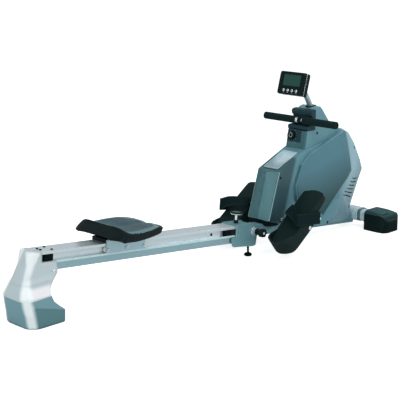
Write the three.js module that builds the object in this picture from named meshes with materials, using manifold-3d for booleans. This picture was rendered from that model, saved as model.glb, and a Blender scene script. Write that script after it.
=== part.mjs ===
// A folding magnetic rowing machine: an inclined aluminium rail with a rolling saddle seat, a rear
// foot, a hinged sleeve joint, a moulded flywheel housing with its pull handle, two swinging
// footplates, a front stabiliser and a tilting console.
// Millimetres. +X runs towards the flywheel end, +Z is up and the floor is Z = 0.
// The near side of the photograph is -Y. The origin is on the floor, under the middle.

import * as THREE from 'three';
import { mergeVertices } from 'three/addons/utils/BufferGeometryUtils.js';
import Module from 'manifold-3d';

const wasm = await Module();
wasm.setup();
const { Manifold, Mesh } = wasm;

// General sizes

const degree = Math.PI / 180;
const full_turn = 2 * Math.PI;
const mm = 1; // unit of the shape tables
const gap = 0.3; // between touching pieces
const running_gap = 0.4; // round a turning or sliding piece
const overrun = 20; // by which a cut passes its faces
const weld = 0.0005;
const round_steps = 8; // half the sides of a full circle in an outline
const lathe_steps = 18;
const small_lathe_steps = 12;
const corner_share = 0.46; // most of an edge that a rounded corner may take

// Rail and its hinge

const rail_slope = 5.75 * degree;
const hinge_x = 206;
const hinge_z = 127.5;
const rail_width = 82;
const rail_height = 77;
const rail_length = 1121;
const rail_setback = 98; // from the hinge to the rail's front end
const rail_rise = 31.4; // rail's top face above the hinge
const rail_wall = 4;
const upper_wall = 11.5; // side wall above the roller channel
const channel_height = 28;
const channel_depth = 13;
const lip_height = 9;
const lip_proud = 4;

const bumper_length = 40;
const bumper_front_inset = 74; // middle of each front stop from the rail's end
const bumper_rear_inset = 57; // middle of each rear stop from the rail's end
const bumper_proud = 1.5;

// Hinged sleeve

const sleeve_wall = 4;
const sleeve_front = 18; // past the hinge
const sleeve_back = 122; // behind the hinge, at the top
const sleeve_tail = 148; // behind the hinge, at the bottom
const sleeve_drop = 66; // below the hinge
const sleeve_step = 16; // height of the hinge above the step in the rear edge
const sleeve_top_cut = 22; // the top plate ends this far behind the hinge
const sleeve_corner = 12;
const hinge_bolt_radius = 7;
const hinge_flange_radius = 18;
const hinge_flange_length = 15;
const hinge_spacer_radius = 13;
const hinge_nut_radius = 11;
const hinge_nut_length = 9;
const hinge_knob_radius = 20;
const hinge_knob_length = 20;
const hinge_knob_station = 95; // knob's middle from the centre plane
const hinge_knob_lobes = 6;
const hinge_stud_radius = 5;

const lock_station = 78; // lock pin behind the hinge
const lock_knob_radius = 27;
const lock_knob_height = 11;
const lock_knob_rise = 46; // knob's underside above the rail's top line
const lock_stem_radius = 5;
const lock_collar_radius = 10;
const lock_collar_height = 14;
const lock_depth = 7; // of the tip in the beam
const lock_slot_length = 20;
const lock_slot_width = 12;

// Base beam, its foot and the upright

const beam_width = 60;
const beam_height = 52;
const beam_rise = 22.5; // beam's top face above the hinge line
const beam_wall = 3;
const beam_tongue = 88; // behind the hinge
const beam_corner = 6;

const foot_station = 12.6; // levelling foot ahead of the hinge
const foot_pad_radius = 18;
const foot_pad_height = 14;
const foot_stem_radius = 5;
const foot_stem_length = 104;

const post_width = 44;
const post_depth = 50;
const post_wall = 3;
const post_corner = 4;
const post_x = 664;
const post_foot_z = 446;
const post_top_z = 600;

// Front stabiliser

const stabiliser_x = 998;
const stabiliser_depth = 68;
const stabiliser_height = 58;
const stabiliser_lift = 36;
const stabiliser_radius = 20;
const stabiliser_wall = 2.5;
const stabiliser_length = 396;
const saddle_width = 92;
const saddle_proud = 3;
const saddle_ring_station = 58;
const saddle_ring_width = 9;

const cap_inner = 108; // cap's inner end from the centre plane
const cap_length = 129;
const cap_depth = 135;
const cap_x = 1023.5;
const cap_height = 99;
const cap_shoulder = 84; // top of the side walls
const cap_end_height = 58;
const cap_wall = 4;
const cap_corner = 42; // round corners of the outer end

const wheel_radius = 23;
const wheel_width = 16;
const wheel_station = 58; // from the centre plane
const wheel_x = 1053;
const wheel_lift = 27;
const wheel_bore = 4.3;
const wheel_pin_radius = 4;
const wheel_ear_thickness = 4;
const wheel_ear_radius = 9;

// Rear foot

const boot_top_x = -1016; // rearmost at the top
const boot_front_x = -913;
const boot_knee_x = -1095;
const boot_knee_z = 118;
const boot_sole_x = -1079;
const boot_wall = 4;
const boot_top_half = 46;
const boot_knee_half = 84;
const boot_sole_half = 94;
const boot_arch = 58; // how deep the front is drawn in under the rail
const boot_window = 21; // from the rail's end to the open roller channel

// Housing

const housing_x = 282; // lowest rear edge of the shroud
const housing_z = 29;
const housing_height = 626;
const shroud_half = 67;
const tower_half = 58;
const rim_half = 28;
const ridge_half = 78;
const crown_half = 84;
const housing_wall = 3;
const housing_bevel = 6;
const ridge_low = 4; // how far the middle of the rear face stands out at its foot
const ridge_high = 16; // and at the deck
const dome_x = 740; // middle from which the dome's rings spread
const dome_z = 300;
const crown_share = 0.9;
const panel_gap = 0.8;
const panel_inset = 5; // panel's edge inside the ridge line
const vent_count = 6;
const vent_width = 5;
const vent_x = 869; // rear end of the lowest slot
const vent_z = 183;
const vent_spread = 70; // from the lowest slot's rear end to the highest's, both ways
const vent_tip_x = 936; // front end of the lowest slot
const vent_tip_z = 161;
const vent_tip_run = 50;
const vent_tip_rise = 90;
const beam_slot_gap = 1;

// Tray on the deck

const tray_x = 364;
const tray_run = 142; // along X
const deck_rise = 0.4155; // rise per run of the deck
const deck_z = 388; // at tray_x
const tray_half = 44;
const tray_depth = 18;
const tray_wall = 2.5;
const tray_flange = 5;
const tray_proud = 1.6;

// Cradle, handle and strap

const cradle_back = 614;
const cradle_foot = 543;
const cradle_height = 97;
const cradle_depth = 61;
const handle_x = 570.7;
const handle_z = 587.5;
const throat = 40;
const grip_radius = 17.5;
const handle_half = 216.6;
const handle_waist = 26; // bare bar between the grips
const bar_radius = 11;
const strap_width = 26;
const strap_thickness = 2.4;
const loop_wall = 3.2;
const slot_height = 9;

const roller_x = 664;
const roller_radius = 13;
const roller_width = 34;
const roller_pin_radius = 5;

// Drive inside the housing

const flywheel_x = 806;
const flywheel_z = 300;
const flywheel_radius = 128;
const flywheel_width = 16;
const flywheel_rim = 26;
const flywheel_web = 6;
const flywheel_hub_radius = 24;
const flywheel_hub_width = 34;
const flywheel_bore = 8.4;
const flywheel_holes = 6;
const axle_radius = 8;
const axle_half = 50;
const drum_x = 650;
const drum_z = 400;
const drum_radius = 30;
const drum_flange_radius = 40;
const drum_width = 32;
const drum_flange = 3;
const pulley_radius = 36;
const pulley_width = 9;
const pinion_radius = 17;
const belt_thickness = 2.5;
const belt_station = 30;
const bearing_plate = 4;
const bracket_start = 400; // ahead of the hinge, along the beam
const bracket_end = 545;
const bearing_gap = 92; // between the two bearing plates

const magnet_gap = 5;
const magnet_thickness = 12;
const magnet_arc = 62 * degree;

// Tension knob on the tower

const tower_foot_x = 530; // lower edge of the tower's rear face
const tower_foot_z = 430;
const tower_face_x = 552; // upper edge
const tower_face_z = 555;
const knob_y = 24;
const knob_z = 517;
const knob_radius = 22;
const knob_height = 13;
const knob_flutes = 8;
const knob_stem_radius = 5;
const knob_stem_length = 24;
const knob_plate_y = 12;
const knob_plate_width = 80;
const knob_plate_height = 58;
const knob_plate_thickness = 3;

// Footplates

const pedal_x = 390;
const pedal_z = 140;
const pedal_axle_radius = 8;
const pedal_inner = 105;
const pedal_width = 114;
const pedal_length = 342;
const pedal_slope = 38 * degree;
const pedal_turn = 3.5 * degree; // the far footplate lies this much flatter
const pedal_thickness = 9;
const pedal_offset = 52; // plate's top face above the axle
const pedal_back = 170; // heel end behind the axle
const far_reach = 12; // the far footplate stands this much further out
const far_slide = 25; // and lies this much nearer the heel
const far_lift = 8; // and this much higher
const heel_height = 24;
const heel_wall = 7;
const pedal_rib = 5;
const pedal_boss_radius = 15;
const pedal_boss_length = 30;
const pedal_spacer_radius = 12;
const pedal_nut_radius = 9;
const pedal_nut_length = 2.6;
const foot_strap_width = 58;
const foot_strap_thickness = 4;
const foot_strap_station = 34; // middle of the strap's inner end ahead of the axle

// Seat and its carriage

const seat_station = 776; // carriage's middle behind the hinge
const carriage_half = 104;
const carriage_wall = 3;
const carriage_gap = 1.5; // round the rail
const carriage_skirt = 40.5; // side plates below the rail's top face
const roller_inset = 8; // seat rollers from the carriage's ends
const roller_span = carriage_half - roller_inset;
const seat_roller_width = 10;
const seat_pin_radius = 4;
const seat_bolt_radius = 5.5;
const seat_bolt_height = 3;
const seat_x = -553;
const seat_length = 290;
const seat_half = 152;
const seat_front_half = 128;
const seat_base_z = 262;
const seat_ridge = 60; // crest of the rear ridge above the underside
const seat_rear_lip = 24; // rear edge above the underside
const seat_edge = 31; // side edge above the underside
const seat_dish = 29; // pan above the underside
const seat_crest_share = 0.16; // crest's place along the seat
const seat_rear_corner = 52;
const seat_front_corner = 46;
const seat_block_length = 128;
const seat_block_half = 36;

// Console and its arm

const console_x = 518.7;
const console_z = 763.5;
const console_tilt = 15.7 * degree;
const console_width = 153.6;
const console_height = 107;
const console_depth = 37;
const console_corner = 12;
const screen_width = 104;
const screen_height = 54;
const screen_rise = 14;
const screen_depth = 3;
const screen_recess = 2;
const button_count = 4;
const button_radius = 6.2;
const button_pitch = 25;
const button_drop = 34;
const button_depth = 7;
const button_proud = 2.4;
const button_gap = 0.5;
const arm_radius = 12.75;
const arm_exit_x = 650; // where the arm leaves the tower
const arm_exit_z = 635;
const arm_lean = 120 * degree;
const arm_rise = 66; // from the exit to the upper bend
const knuckle_radius = 9;
const knuckle_half = 11;
const knuckle_offset = 16; // from the console's back
const knuckle_pin_radius = 4;
const ear_thickness = 5;
const ear_radius = 9;
const grommet_radius = 17.5;
const grommet_length = 24;

// Helpers: outlines

// A table of numbers, each times the unit.
const sized = (table) => table.map((value) => (Array.isArray(value) ? sized(value) : value * mm));

// An outline through points, with corners rounded by a radius each.
function outline(points, radius = 0) {
  const shape = new THREE.Shape();
  const count = points.length;
  points.forEach(([x, y], i) => {
    const before = points[(i + count - 1) % count];
    const after = points[(i + 1) % count];
    const r = Array.isArray(radius) ? radius[i] : radius;
    const start = (px, py) => (i ? shape.lineTo(px, py) : shape.moveTo(px, py));
    if (!r) {
      start(x, y);
      return;
    }
    const back = Math.hypot(before[0] - x, before[1] - y);
    const ahead = Math.hypot(after[0] - x, after[1] - y);
    const cut = Math.min(r, back * corner_share, ahead * corner_share);
    start(x + ((before[0] - x) * cut) / back, y + ((before[1] - y) * cut) / back);
    shape.quadraticCurveTo(x, y, x + ((after[0] - x) * cut) / ahead, y + ((after[1] - y) * cut) / ahead);
  });
  shape.closePath();
  return shape;
}

function disc(x, y, radius) {
  const shape = new THREE.Shape();
  shape.absarc(x, y, radius, 0, full_turn, false);
  return shape;
}

function hole(shape, x, y, radius) {
  const path = new THREE.Path();
  path.absarc(x, y, radius, 0, full_turn, true);
  shape.holes.push(path);
  return shape;
}

function box_points(x0, y0, x1, y1) {
  return [[x0, y0], [x1, y0], [x1, y1], [x0, y1]];
}

// The outline moved inwards by a wall, corner by corner. Points run anticlockwise.
function inset(points, wall) {
  const count = points.length;
  return points.map(([x, y], i) => {
    const [px, py] = points[(i + count - 1) % count];
    const [nx, ny] = points[(i + 1) % count];
    const a = Math.hypot(x - px, y - py);
    const b = Math.hypot(nx - x, ny - y);
    const u = [-(y - py) / a, (x - px) / a];
    const v = [-(ny - y) / b, (nx - x) / b];
    const k = 1 + u[0] * v[0] + u[1] * v[1];
    return [x + (wall * (u[0] + v[0])) / k, y + (wall * (u[1] + v[1])) / k];
  });
}

// Helpers: solids

function extruded(shape, depth, steps = round_steps) {
  return new THREE.ExtrudeGeometry(shape, { depth, bevelEnabled: false, curveSegments: steps });
}

// A profile in X and Z, run along Y.
function along_y(shape, from, to, steps) {
  return extruded(shape, to - from, steps).rotateX(Math.PI / 2).translate(0, to, 0);
}

// A profile in Y and Z, run along X.
const x_from_depth = new THREE.Matrix4().set(0, 0, 1, 0, 1, 0, 0, 0, 0, 1, 0, 0, 0, 0, 0, 1);
function along_x(shape, from, to, steps) {
  return extruded(shape, to - from, steps).applyMatrix4(x_from_depth).translate(from, 0, 0);
}

// A profile in X and Y, run along Z.
function along_z(shape, from, to, steps) {
  return extruded(shape, to - from, steps).translate(0, 0, from);
}

// A profile of radius and height, turned about Y.
function turned(profile, steps = lathe_steps) {
  return new THREE.LatheGeometry(profile.map(([r, h]) => new THREE.Vector2(r, h)), steps);
}

function rod_y(radius, from, to, steps = small_lathe_steps) {
  return turned([[0, from], [radius, from], [radius, to], [0, to]], steps);
}

function ring_y(inner, outer, from, to, steps = lathe_steps) {
  return turned([[inner, from], [outer, from], [outer, to], [inner, to], [inner, from]], steps);
}

// Turns a solid made about Y so that it stands on Z or runs along X.
const on_z = (geometry) => geometry.rotateX(Math.PI / 2);
const on_x = (geometry) => geometry.rotateZ(-Math.PI / 2);

// A closed skin over rings that hold the same number of points, with its two end rings filled.
function lofted(rings) {
  const count = rings[0].length;
  const places = rings.flat(2);
  const faces = [];
  for (let r = 0; r + 1 < rings.length; r += 1) {
    for (let i = 0; i < count; i += 1) {
      const a = r * count + i;
      const b = r * count + ((i + 1) % count);
      faces.push(a, b, b + count, a, b + count, a + count);
    }
  }
  const fill = (ring, start, flip) => {
    const origin = new THREE.Vector3(...ring[0]);
    const normal = new THREE.Vector3();
    ring.forEach((p, i) => {
      const q = ring[(i + 1) % count];
      normal.add(new THREE.Vector3(...p).sub(origin).cross(new THREE.Vector3(...q).sub(origin)));
    });
    normal.normalize();
    const pick = Math.abs(normal.x) > 0.8 ? new THREE.Vector3(0, 1, 0) : new THREE.Vector3(1, 0, 0);
    const u = pick.sub(normal.clone().multiplyScalar(pick.dot(normal))).normalize();
    const v = normal.clone().cross(u);
    const flat = ring.map((p) => {
      const d = new THREE.Vector3(...p).sub(origin);
      return new THREE.Vector2(d.dot(u), d.dot(v));
    });
    THREE.ShapeUtils.triangulateShape(flat, []).forEach(([a, b, c]) => {
      faces.push(...(flip ? [start + a, start + c, start + b] : [start + a, start + b, start + c]));
    });
  };
  fill(rings[0], 0, true);
  fill(rings[rings.length - 1], (rings.length - 1) * count, false);
  const geometry = new THREE.BufferGeometry();
  geometry.setAttribute('position', new THREE.Float32BufferAttribute(places, 3));
  geometry.setIndex(faces);
  return outwards(geometry);
}

// Faces turned so that the volume is positive.
function outwards(geometry) {
  const p = geometry.attributes.position;
  const index = geometry.index.array;
  const [a, b, c] = [new THREE.Vector3(), new THREE.Vector3(), new THREE.Vector3()];
  let volume = 0;
  for (let i = 0; i < index.length; i += 3) {
    a.fromBufferAttribute(p, index[i]);
    b.fromBufferAttribute(p, index[i + 1]);
    c.fromBufferAttribute(p, index[i + 2]);
    volume += a.dot(b.cross(c));
  }
  if (volume < 0) {
    for (let i = 0; i < index.length; i += 3) {
      [index[i], index[i + 1]] = [index[i + 1], index[i]];
    }
  }
  return geometry;
}

// A polygon in X and Z run across the centre plane, with its two edges chamfered. It can have
// another outline of as many points on the centre plane.
function chamfered_y(points, half, chamfer, middle = points) {
  const flat = inset(points, chamfer);
  const ring = (list, y) => list.map(([x, z]) => [x, y, z]);
  return lofted([
    ring(flat, -half),
    ring(points, chamfer - half),
    ring(middle, 0),
    ring(points, half - chamfer),
    ring(flat, half),
  ]);
}

function solid(geometry) {
  const bare = geometry.clone();
  bare.deleteAttribute('normal');
  bare.deleteAttribute('uv');
  const merged = mergeVertices(bare, weld);
  const source = merged.index.array;
  const faces = [];
  for (let i = 0; i < source.length; i += 3) {
    const [a, b, c] = [source[i], source[i + 1], source[i + 2]];
    if (a !== b && b !== c && a !== c) faces.push(a, b, c);
  }
  merged.setIndex(faces);
  const { array } = outwards(merged).attributes.position;
  const triVerts = new Uint32Array(merged.index.array);
  return new Manifold(new Mesh({ numProp: 3, vertProperties: new Float32Array(array), triVerts }));
}

function skin(body) {
  const { vertProperties, triVerts } = body.getMesh();
  const geometry = new THREE.BufferGeometry();
  geometry.setAttribute('position', new THREE.BufferAttribute(new Float32Array(vertProperties), 3));
  geometry.setIndex(new THREE.BufferAttribute(new Uint32Array(triVerts), 1));
  geometry.computeVertexNormals();
  return geometry;
}

const joined = (...bodies) => bodies.reduce((all, body) => all.add(body));
const cut = (body, ...tools) => tools.reduce((left, tool) => left.subtract(tool), body);
const mirrored = (geometry) => {
  const copy = geometry.clone().scale(1, -1, 1);
  return skin(solid(copy));
};

// The scene: a level group, and one that leans with the rail about the hinge

const machine = new THREE.Group();
const incline = new THREE.Group();
incline.position.set(hinge_x, 0, hinge_z);
incline.rotation.y = rail_slope;
machine.add(incline);

function finish(color, roughness, metalness = 0) {
  return new THREE.MeshStandardMaterial({ color, roughness, metalness });
}
const satin_silver = () => finish(0xb9c4c8, 0.38, 0.85);
const foot_silver = () => finish(0xb4c6cb, 0.4, 0.5);
const rail_silver = () => finish(0xcfd6d9, 0.34, 0.9);
const bright_steel = () => finish(0xdde3e5, 0.2, 1);
const frame_paint = () => finish(0x6f8f98, 0.42, 0.35);
const housing_paint = () => finish(0x64808c, 0.4, 0.3);
const panel_paint = () => finish(0x587a8c, 0.38, 0.3);
const black_plastic = () => finish(0x1b2628, 0.55);
const black_rubber = () => finish(0x151b1d, 0.8);
const grip_foam = () => finish(0x1c2628, 0.9);
const nylon_white = () => finish(0xdfe0cf, 0.5);
const webbing = () => finish(0x14191b, 0.85);

function place(parent, name, geometry, material, x = 0, y = 0, z = 0) {
  const mesh = new THREE.Mesh(geometry, material);
  mesh.name = name;
  mesh.position.set(x, y, z);
  parent.add(mesh);
  return mesh;
}

const sides = [['near', -1], ['far', 1]];
const half_way = 0.5;

// Levels along the incline, counted from the hinge line

const rail_top = rail_rise;
const rail_bottom = rail_rise - rail_height;
const channel_top = rail_top - upper_wall;
const channel_floor = channel_top - channel_height;
const channel_middle = (channel_top + channel_floor) * half_way;
const rail_half = rail_width * half_way;
const rail_front = -rail_setback;
const rail_back = rail_front - rail_length;
const beam_top = beam_rise;
const beam_bottom = beam_rise - beam_height;
const beam_half = beam_width * half_way;
const cos_slope = Math.cos(rail_slope);
const sin_slope = Math.sin(rail_slope);
const level_of = (s, n) => [hinge_x + s * cos_slope + n * sin_slope, hinge_z - s * sin_slope + n * cos_slope];
const incline_of = (x, z) => {
  const dx = x - hinge_x;
  const dz = z - hinge_z;
  return [dx * cos_slope - dz * sin_slope, dx * sin_slope + dz * cos_slope];
};

// Rail: an extrusion with a roller channel in each side and an open middle

function rail_outline(grow = 0) {
  const w = rail_half + grow;
  const side = [
    [w, rail_top + grow],
    [w, channel_top],
    [rail_half - channel_depth, channel_top],
    [rail_half - channel_depth, channel_floor],
    [w, channel_floor],
    [w, channel_floor - lip_height],
    [w - lip_proud, channel_floor - lip_height],
    [w - lip_proud, rail_bottom - grow],
  ];
  const other = side.map(([y, z]) => [-y, z]).reverse();
  return [...side, ...other].reverse();
}
const rail_shape = outline(rail_outline());
const rail_core = rail_half - channel_depth - rail_wall;
rail_shape.holes.push(
  outline(box_points(-rail_core, rail_bottom + rail_wall, rail_core, rail_top - rail_wall))
);
place(incline, 'rail', along_x(rail_shape, rail_back, rail_front), rail_silver());

const bumper_half = (channel_height - 2 * gap) * half_way;
const bumper_depth = channel_depth - gap + bumper_proud;
for (const [side, sign] of sides) {
  const y = rail_half - channel_depth + gap;
  const corners = sized([0, 3, 3, 0]);
  const shape = outline(box_points(y, -bumper_half, y + bumper_depth, bumper_half), corners);
  const stop = along_x(shape, -bumper_length * half_way, bumper_length * half_way, 2);
  const made = sign > 0 ? stop : mirrored(stop);
  const front = rail_front - bumper_front_inset;
  const back = rail_back + bumper_rear_inset;
  place(incline, `bumper_front_${side}`, made, black_rubber(), front, 0, channel_middle);
  place(incline, `bumper_rear_${side}`, made.clone(), black_rubber(), back, 0, channel_middle);
}

// Sleeve: two side plates and a short top plate, open below, gripping the rail's front end

const sleeve_inner = rail_half + gap;
const sleeve_outer = sleeve_inner + sleeve_wall;
const sleeve_ceiling = rail_top + gap;
const sleeve_roof = sleeve_ceiling + sleeve_wall;
const cheek = outline(
  [
    [-sleeve_tail + sleeve_corner, -sleeve_drop + sleeve_wall],
    [-sleeve_back * half_way, -sleeve_drop],
    [0, -sleeve_drop - sleeve_wall],
    [sleeve_front, -sleeve_drop],
    [sleeve_front + sleeve_wall, -sleeve_front],
    [sleeve_front, 0],
    [sleeve_front - sleeve_wall, sleeve_roof],
    [-sleeve_back, sleeve_roof],
    [-sleeve_back, -sleeve_step],
    [-sleeve_tail, -sleeve_step - sleeve_wall],
    [-sleeve_tail, -sleeve_drop * half_way],
  ],
  [sleeve_corner, ...sized([6, 6, 8, 6, 6, 24, 2, 3, 6, 8])],
);
hole(cheek, 0, 0, hinge_bolt_radius + running_gap);
const cheek_solid = solid(along_y(cheek, sleeve_inner, sleeve_outer, 5));
const other_cheek = solid(along_y(cheek, -sleeve_outer, -sleeve_inner, 5));
const roof_shape = outline(box_points(-sleeve_back, -sleeve_outer, -sleeve_top_cut, sleeve_outer), 2);
hole(roof_shape, -lock_station, 0, lock_stem_radius + running_gap);
const roof = solid(along_z(roof_shape, sleeve_ceiling, sleeve_roof, 5));
place(incline, 'rail_sleeve', skin(joined(cheek_solid, other_cheek, roof)), frame_paint());

// Hinge bolt: flange and shank across both cheeks, with a spacer each side of the beam

const flange_face = sleeve_outer + gap;
const nut_end = flange_face + hinge_nut_length;
const hinge_bolt = turned([
  [0, -flange_face - hinge_flange_length],
  [hinge_stud_radius + running_gap, -flange_face - hinge_flange_length],
  [hinge_flange_radius - 2 * running_gap, -flange_face - hinge_flange_length],
  [hinge_flange_radius, -flange_face - hinge_flange_length + 2 * running_gap],
  [hinge_flange_radius, -flange_face],
  [hinge_bolt_radius, -flange_face],
  [hinge_bolt_radius, -sleeve_inner + gap],
  [hinge_spacer_radius, -sleeve_inner + gap],
  [hinge_spacer_radius, -beam_half - gap],
  [hinge_bolt_radius, -beam_half - gap],
  [hinge_bolt_radius, beam_half + gap],
  [hinge_spacer_radius, beam_half + gap],
  [hinge_spacer_radius, sleeve_inner - gap],
  [hinge_bolt_radius, sleeve_inner - gap],
  [hinge_bolt_radius, flange_face],
  [hinge_nut_radius, flange_face],
  [hinge_nut_radius, nut_end],
  [0, nut_end],
], 14);
const stud_socket = solid(
  rod_y(
    hinge_stud_radius + running_gap,
    -flange_face - hinge_flange_length - overrun,
    -flange_face - running_gap,
  ),
);
place(incline, 'hinge_bolt', skin(cut(solid(hinge_bolt), stud_socket)), bright_steel());

// Hand knob on the end of the hinge bolt, with its stud in the flange

function lobed(radius, lobes, dip, x = 0, y = 0) {
  const shape = new THREE.Shape();
  const steps = lobes * 6;
  for (let i = 0; i < steps; i += 1) {
    const angle = (i * full_turn) / steps;
    const r = radius - dip * (half_way - half_way * Math.cos(lobes * angle));
    const point = [x + r * Math.cos(angle), y + r * Math.sin(angle)];
    if (i) shape.lineTo(...point);
    else shape.moveTo(...point);
  }
  shape.closePath();
  return shape;
}
const knob_in = hinge_knob_station - hinge_knob_length * half_way;
const hand_knob = along_y(
  lobed(hinge_knob_radius, hinge_knob_lobes, 2 * hinge_flange_radius / hinge_knob_lobes * half_way),
  -hinge_knob_station - hinge_knob_length * half_way,
  -knob_in,
);
const knob_neck = rod_y(hinge_nut_radius, -knob_in - running_gap, -flange_face - hinge_flange_length - gap);
const knob_stud = rod_y(hinge_stud_radius, -knob_in, -flange_face - 2 * running_gap);
place(
  incline,
  'hinge_knob',
  skin(joined(solid(hand_knob), solid(knob_neck), solid(knob_stud))),
  black_plastic(),
);

// Lock pin: a round pull knob on a stem, through the sleeve's roof into the beam

const collar_foot = sleeve_roof + gap;
const knob_foot = rail_top + lock_knob_rise;
const lock_tip = beam_top - lock_depth;
const lock_pin = turned([
  [0, lock_tip],
  [lock_stem_radius - running_gap, lock_tip],
  [lock_stem_radius, lock_tip + running_gap],
  [lock_stem_radius, collar_foot],
  [lock_collar_radius, collar_foot],
  [lock_collar_radius, collar_foot + lock_collar_height],
  [lock_stem_radius, collar_foot + lock_collar_height],
  [lock_stem_radius, knob_foot],
  [lock_knob_radius - 2 * mm, knob_foot],
  [lock_knob_radius, knob_foot + lock_knob_height * half_way],
  [lock_knob_radius - 1 * mm, knob_foot + lock_knob_height],
  [lock_knob_radius - 4 * mm, knob_foot + lock_knob_height],
  [lock_knob_radius - 6 * mm, knob_foot + lock_knob_height - 2 * mm],
  [0, knob_foot + lock_knob_height - 2 * mm],
]);
place(incline, 'lock_pin', on_z(lock_pin), black_plastic(), -lock_station, 0, 0);

// Base beam: a rectangular tube from the tongue in the sleeve to the stabiliser

const [beam_front] = incline_of(stabiliser_x - stabiliser_depth * half_way, hinge_z);
const beam_points = box_points(-beam_half, beam_bottom, beam_half, beam_top);
const beam_shape = outline(beam_points, beam_corner);
const beam_blank = solid(along_x(beam_shape, -beam_tongue, beam_front + overrun, 2));
const beam_inner = outline(inset(beam_points, beam_wall), beam_corner - beam_wall);
const beam_bore = solid(along_x(beam_inner, -beam_tongue + beam_wall, beam_front + 2 * overrun, 2));
const hinge_hole = solid(rod_y(hinge_bolt_radius + running_gap, -sleeve_outer, sleeve_outer));
const slot_half = lock_slot_length * half_way;
const slot_points = box_points(-lock_station - slot_half, -lock_slot_width * half_way,
  -lock_station + slot_half, lock_slot_width * half_way);
const lock_slot = solid(
  along_z(
    outline(slot_points, lock_slot_width * corner_share),
    beam_top - 2 * beam_wall,
    beam_top + overrun,
    3,
  )
);
const foot_bore = solid(
  on_z(rod_y(foot_stem_radius + 3 * running_gap, -overrun, overrun)).translate(foot_station, 0, beam_bottom),
);
const stabiliser_half = stabiliser_depth * half_way;
function stabiliser_outline(grow) {
  const x0 = stabiliser_x - stabiliser_half - grow;
  const x1 = stabiliser_x + stabiliser_half + grow;
  const points = box_points(x0, stabiliser_lift - grow, x1, stabiliser_lift + stabiliser_height + grow);
  return outline(points, stabiliser_radius + grow);
}
const to_incline = new THREE.Matrix4()
  .makeTranslation(hinge_x, 0, hinge_z)
  .multiply(new THREE.Matrix4().makeRotationY(rail_slope))
  .invert();
const stabiliser_keepout = solid(
  along_y(stabiliser_outline(saddle_proud + gap), -ridge_half, ridge_half, 4).applyMatrix4(to_incline),
);
place(
  incline,
  'base_beam',
  skin(cut(beam_blank, beam_bore, hinge_hole, lock_slot, foot_bore, stabiliser_keepout)),
  frame_paint(),
);

// Levelling foot: a rubber pad on a threaded stem under the beam

const [foot_x] = level_of(foot_station, beam_bottom);
const levelling_foot = turned([
  [0, 0],
  [foot_pad_radius - 3 * mm, 0],
  [foot_pad_radius, 3 * mm],
  [foot_pad_radius, foot_pad_height - 5 * mm],
  [foot_pad_radius - 6 * mm, foot_pad_height],
  [foot_stem_radius, foot_pad_height],
  [foot_stem_radius, foot_stem_length],
  [0, foot_stem_length],
], 16);
place(machine, 'levelling_foot', on_z(levelling_foot), black_rubber(), foot_x, 0, 0);

// Front stabiliser: a rounded tube across the machine, with a saddle, rings and wheel ears

const stabiliser_end = stabiliser_length * half_way;
const tube_solid = solid(along_y(stabiliser_outline(0), -stabiliser_end, stabiliser_end, 4));
const tube_bore = solid(
  along_y(stabiliser_outline(-stabiliser_wall), -stabiliser_end - overrun, stabiliser_end + overrun, 4)
);
const saddle_half = saddle_width * half_way;
const saddle = solid(along_y(stabiliser_outline(saddle_proud), -saddle_half, saddle_half, 4));
const ear_side = outline(
  [
    [stabiliser_x, stabiliser_lift + stabiliser_height * 0.7],
    [stabiliser_x + stabiliser_half * 0.6, stabiliser_lift],
    [wheel_x - wheel_ear_radius, wheel_lift - wheel_ear_radius],
    [wheel_x + wheel_ear_radius, wheel_lift - wheel_ear_radius],
    [wheel_x + wheel_ear_radius, wheel_lift + wheel_ear_radius],
    [stabiliser_x + stabiliser_half, stabiliser_lift + stabiliser_height * 0.7],
  ],
  [0, 0, wheel_ear_radius, wheel_ear_radius, wheel_ear_radius, 0],
);
const ear_inset = wheel_width * half_way + gap;
const fittings = [];
for (const [, sign] of sides) {
  const ring_from = saddle_ring_station - saddle_ring_width * half_way;
  const ring_y0 = sign > 0 ? ring_from : -ring_from - saddle_ring_width;
  fittings.push(solid(along_y(stabiliser_outline(saddle_proud), ring_y0, ring_y0 + saddle_ring_width, 4)));
  for (const inner of [-ear_inset - wheel_ear_thickness, ear_inset]) {
    const y = sign * wheel_station + inner;
    fittings.push(solid(along_y(ear_side, y, y + wheel_ear_thickness, 3)));
  }
  const y = sign * wheel_station;
  const pin = rod_y(
    wheel_pin_radius,
    y - ear_inset - wheel_ear_thickness,
    y + ear_inset + wheel_ear_thickness,
  );
  fittings.push(solid(pin.translate(wheel_x, 0, wheel_lift)));
}
place(
  machine,
  'front_stabiliser',
  skin(cut(joined(tube_solid, saddle, ...fittings), tube_bore)),
  satin_silver(),
);

for (const [side, sign] of sides) {
  const half = wheel_width * half_way;
  const wheel = turned([
    [wheel_bore, -half],
    [wheel_radius * 0.4, -half],
    [wheel_radius * 0.5, -half * 0.6],
    [wheel_radius - 2 * mm, -half],
    [wheel_radius, -half + 2 * mm],
    [wheel_radius, half - 2 * mm],
    [wheel_radius - 2 * mm, half],
    [wheel_radius * 0.5, half * 0.6],
    [wheel_radius * 0.4, half],
    [wheel_bore, half],
    [wheel_bore, -half],
  ]);
  place(machine, `transport_wheel_${side}`, wheel, black_rubber(), wheel_x, sign * wheel_station, wheel_lift);
}

// Stabiliser caps: domed ends with ribbed, round outer walls

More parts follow.
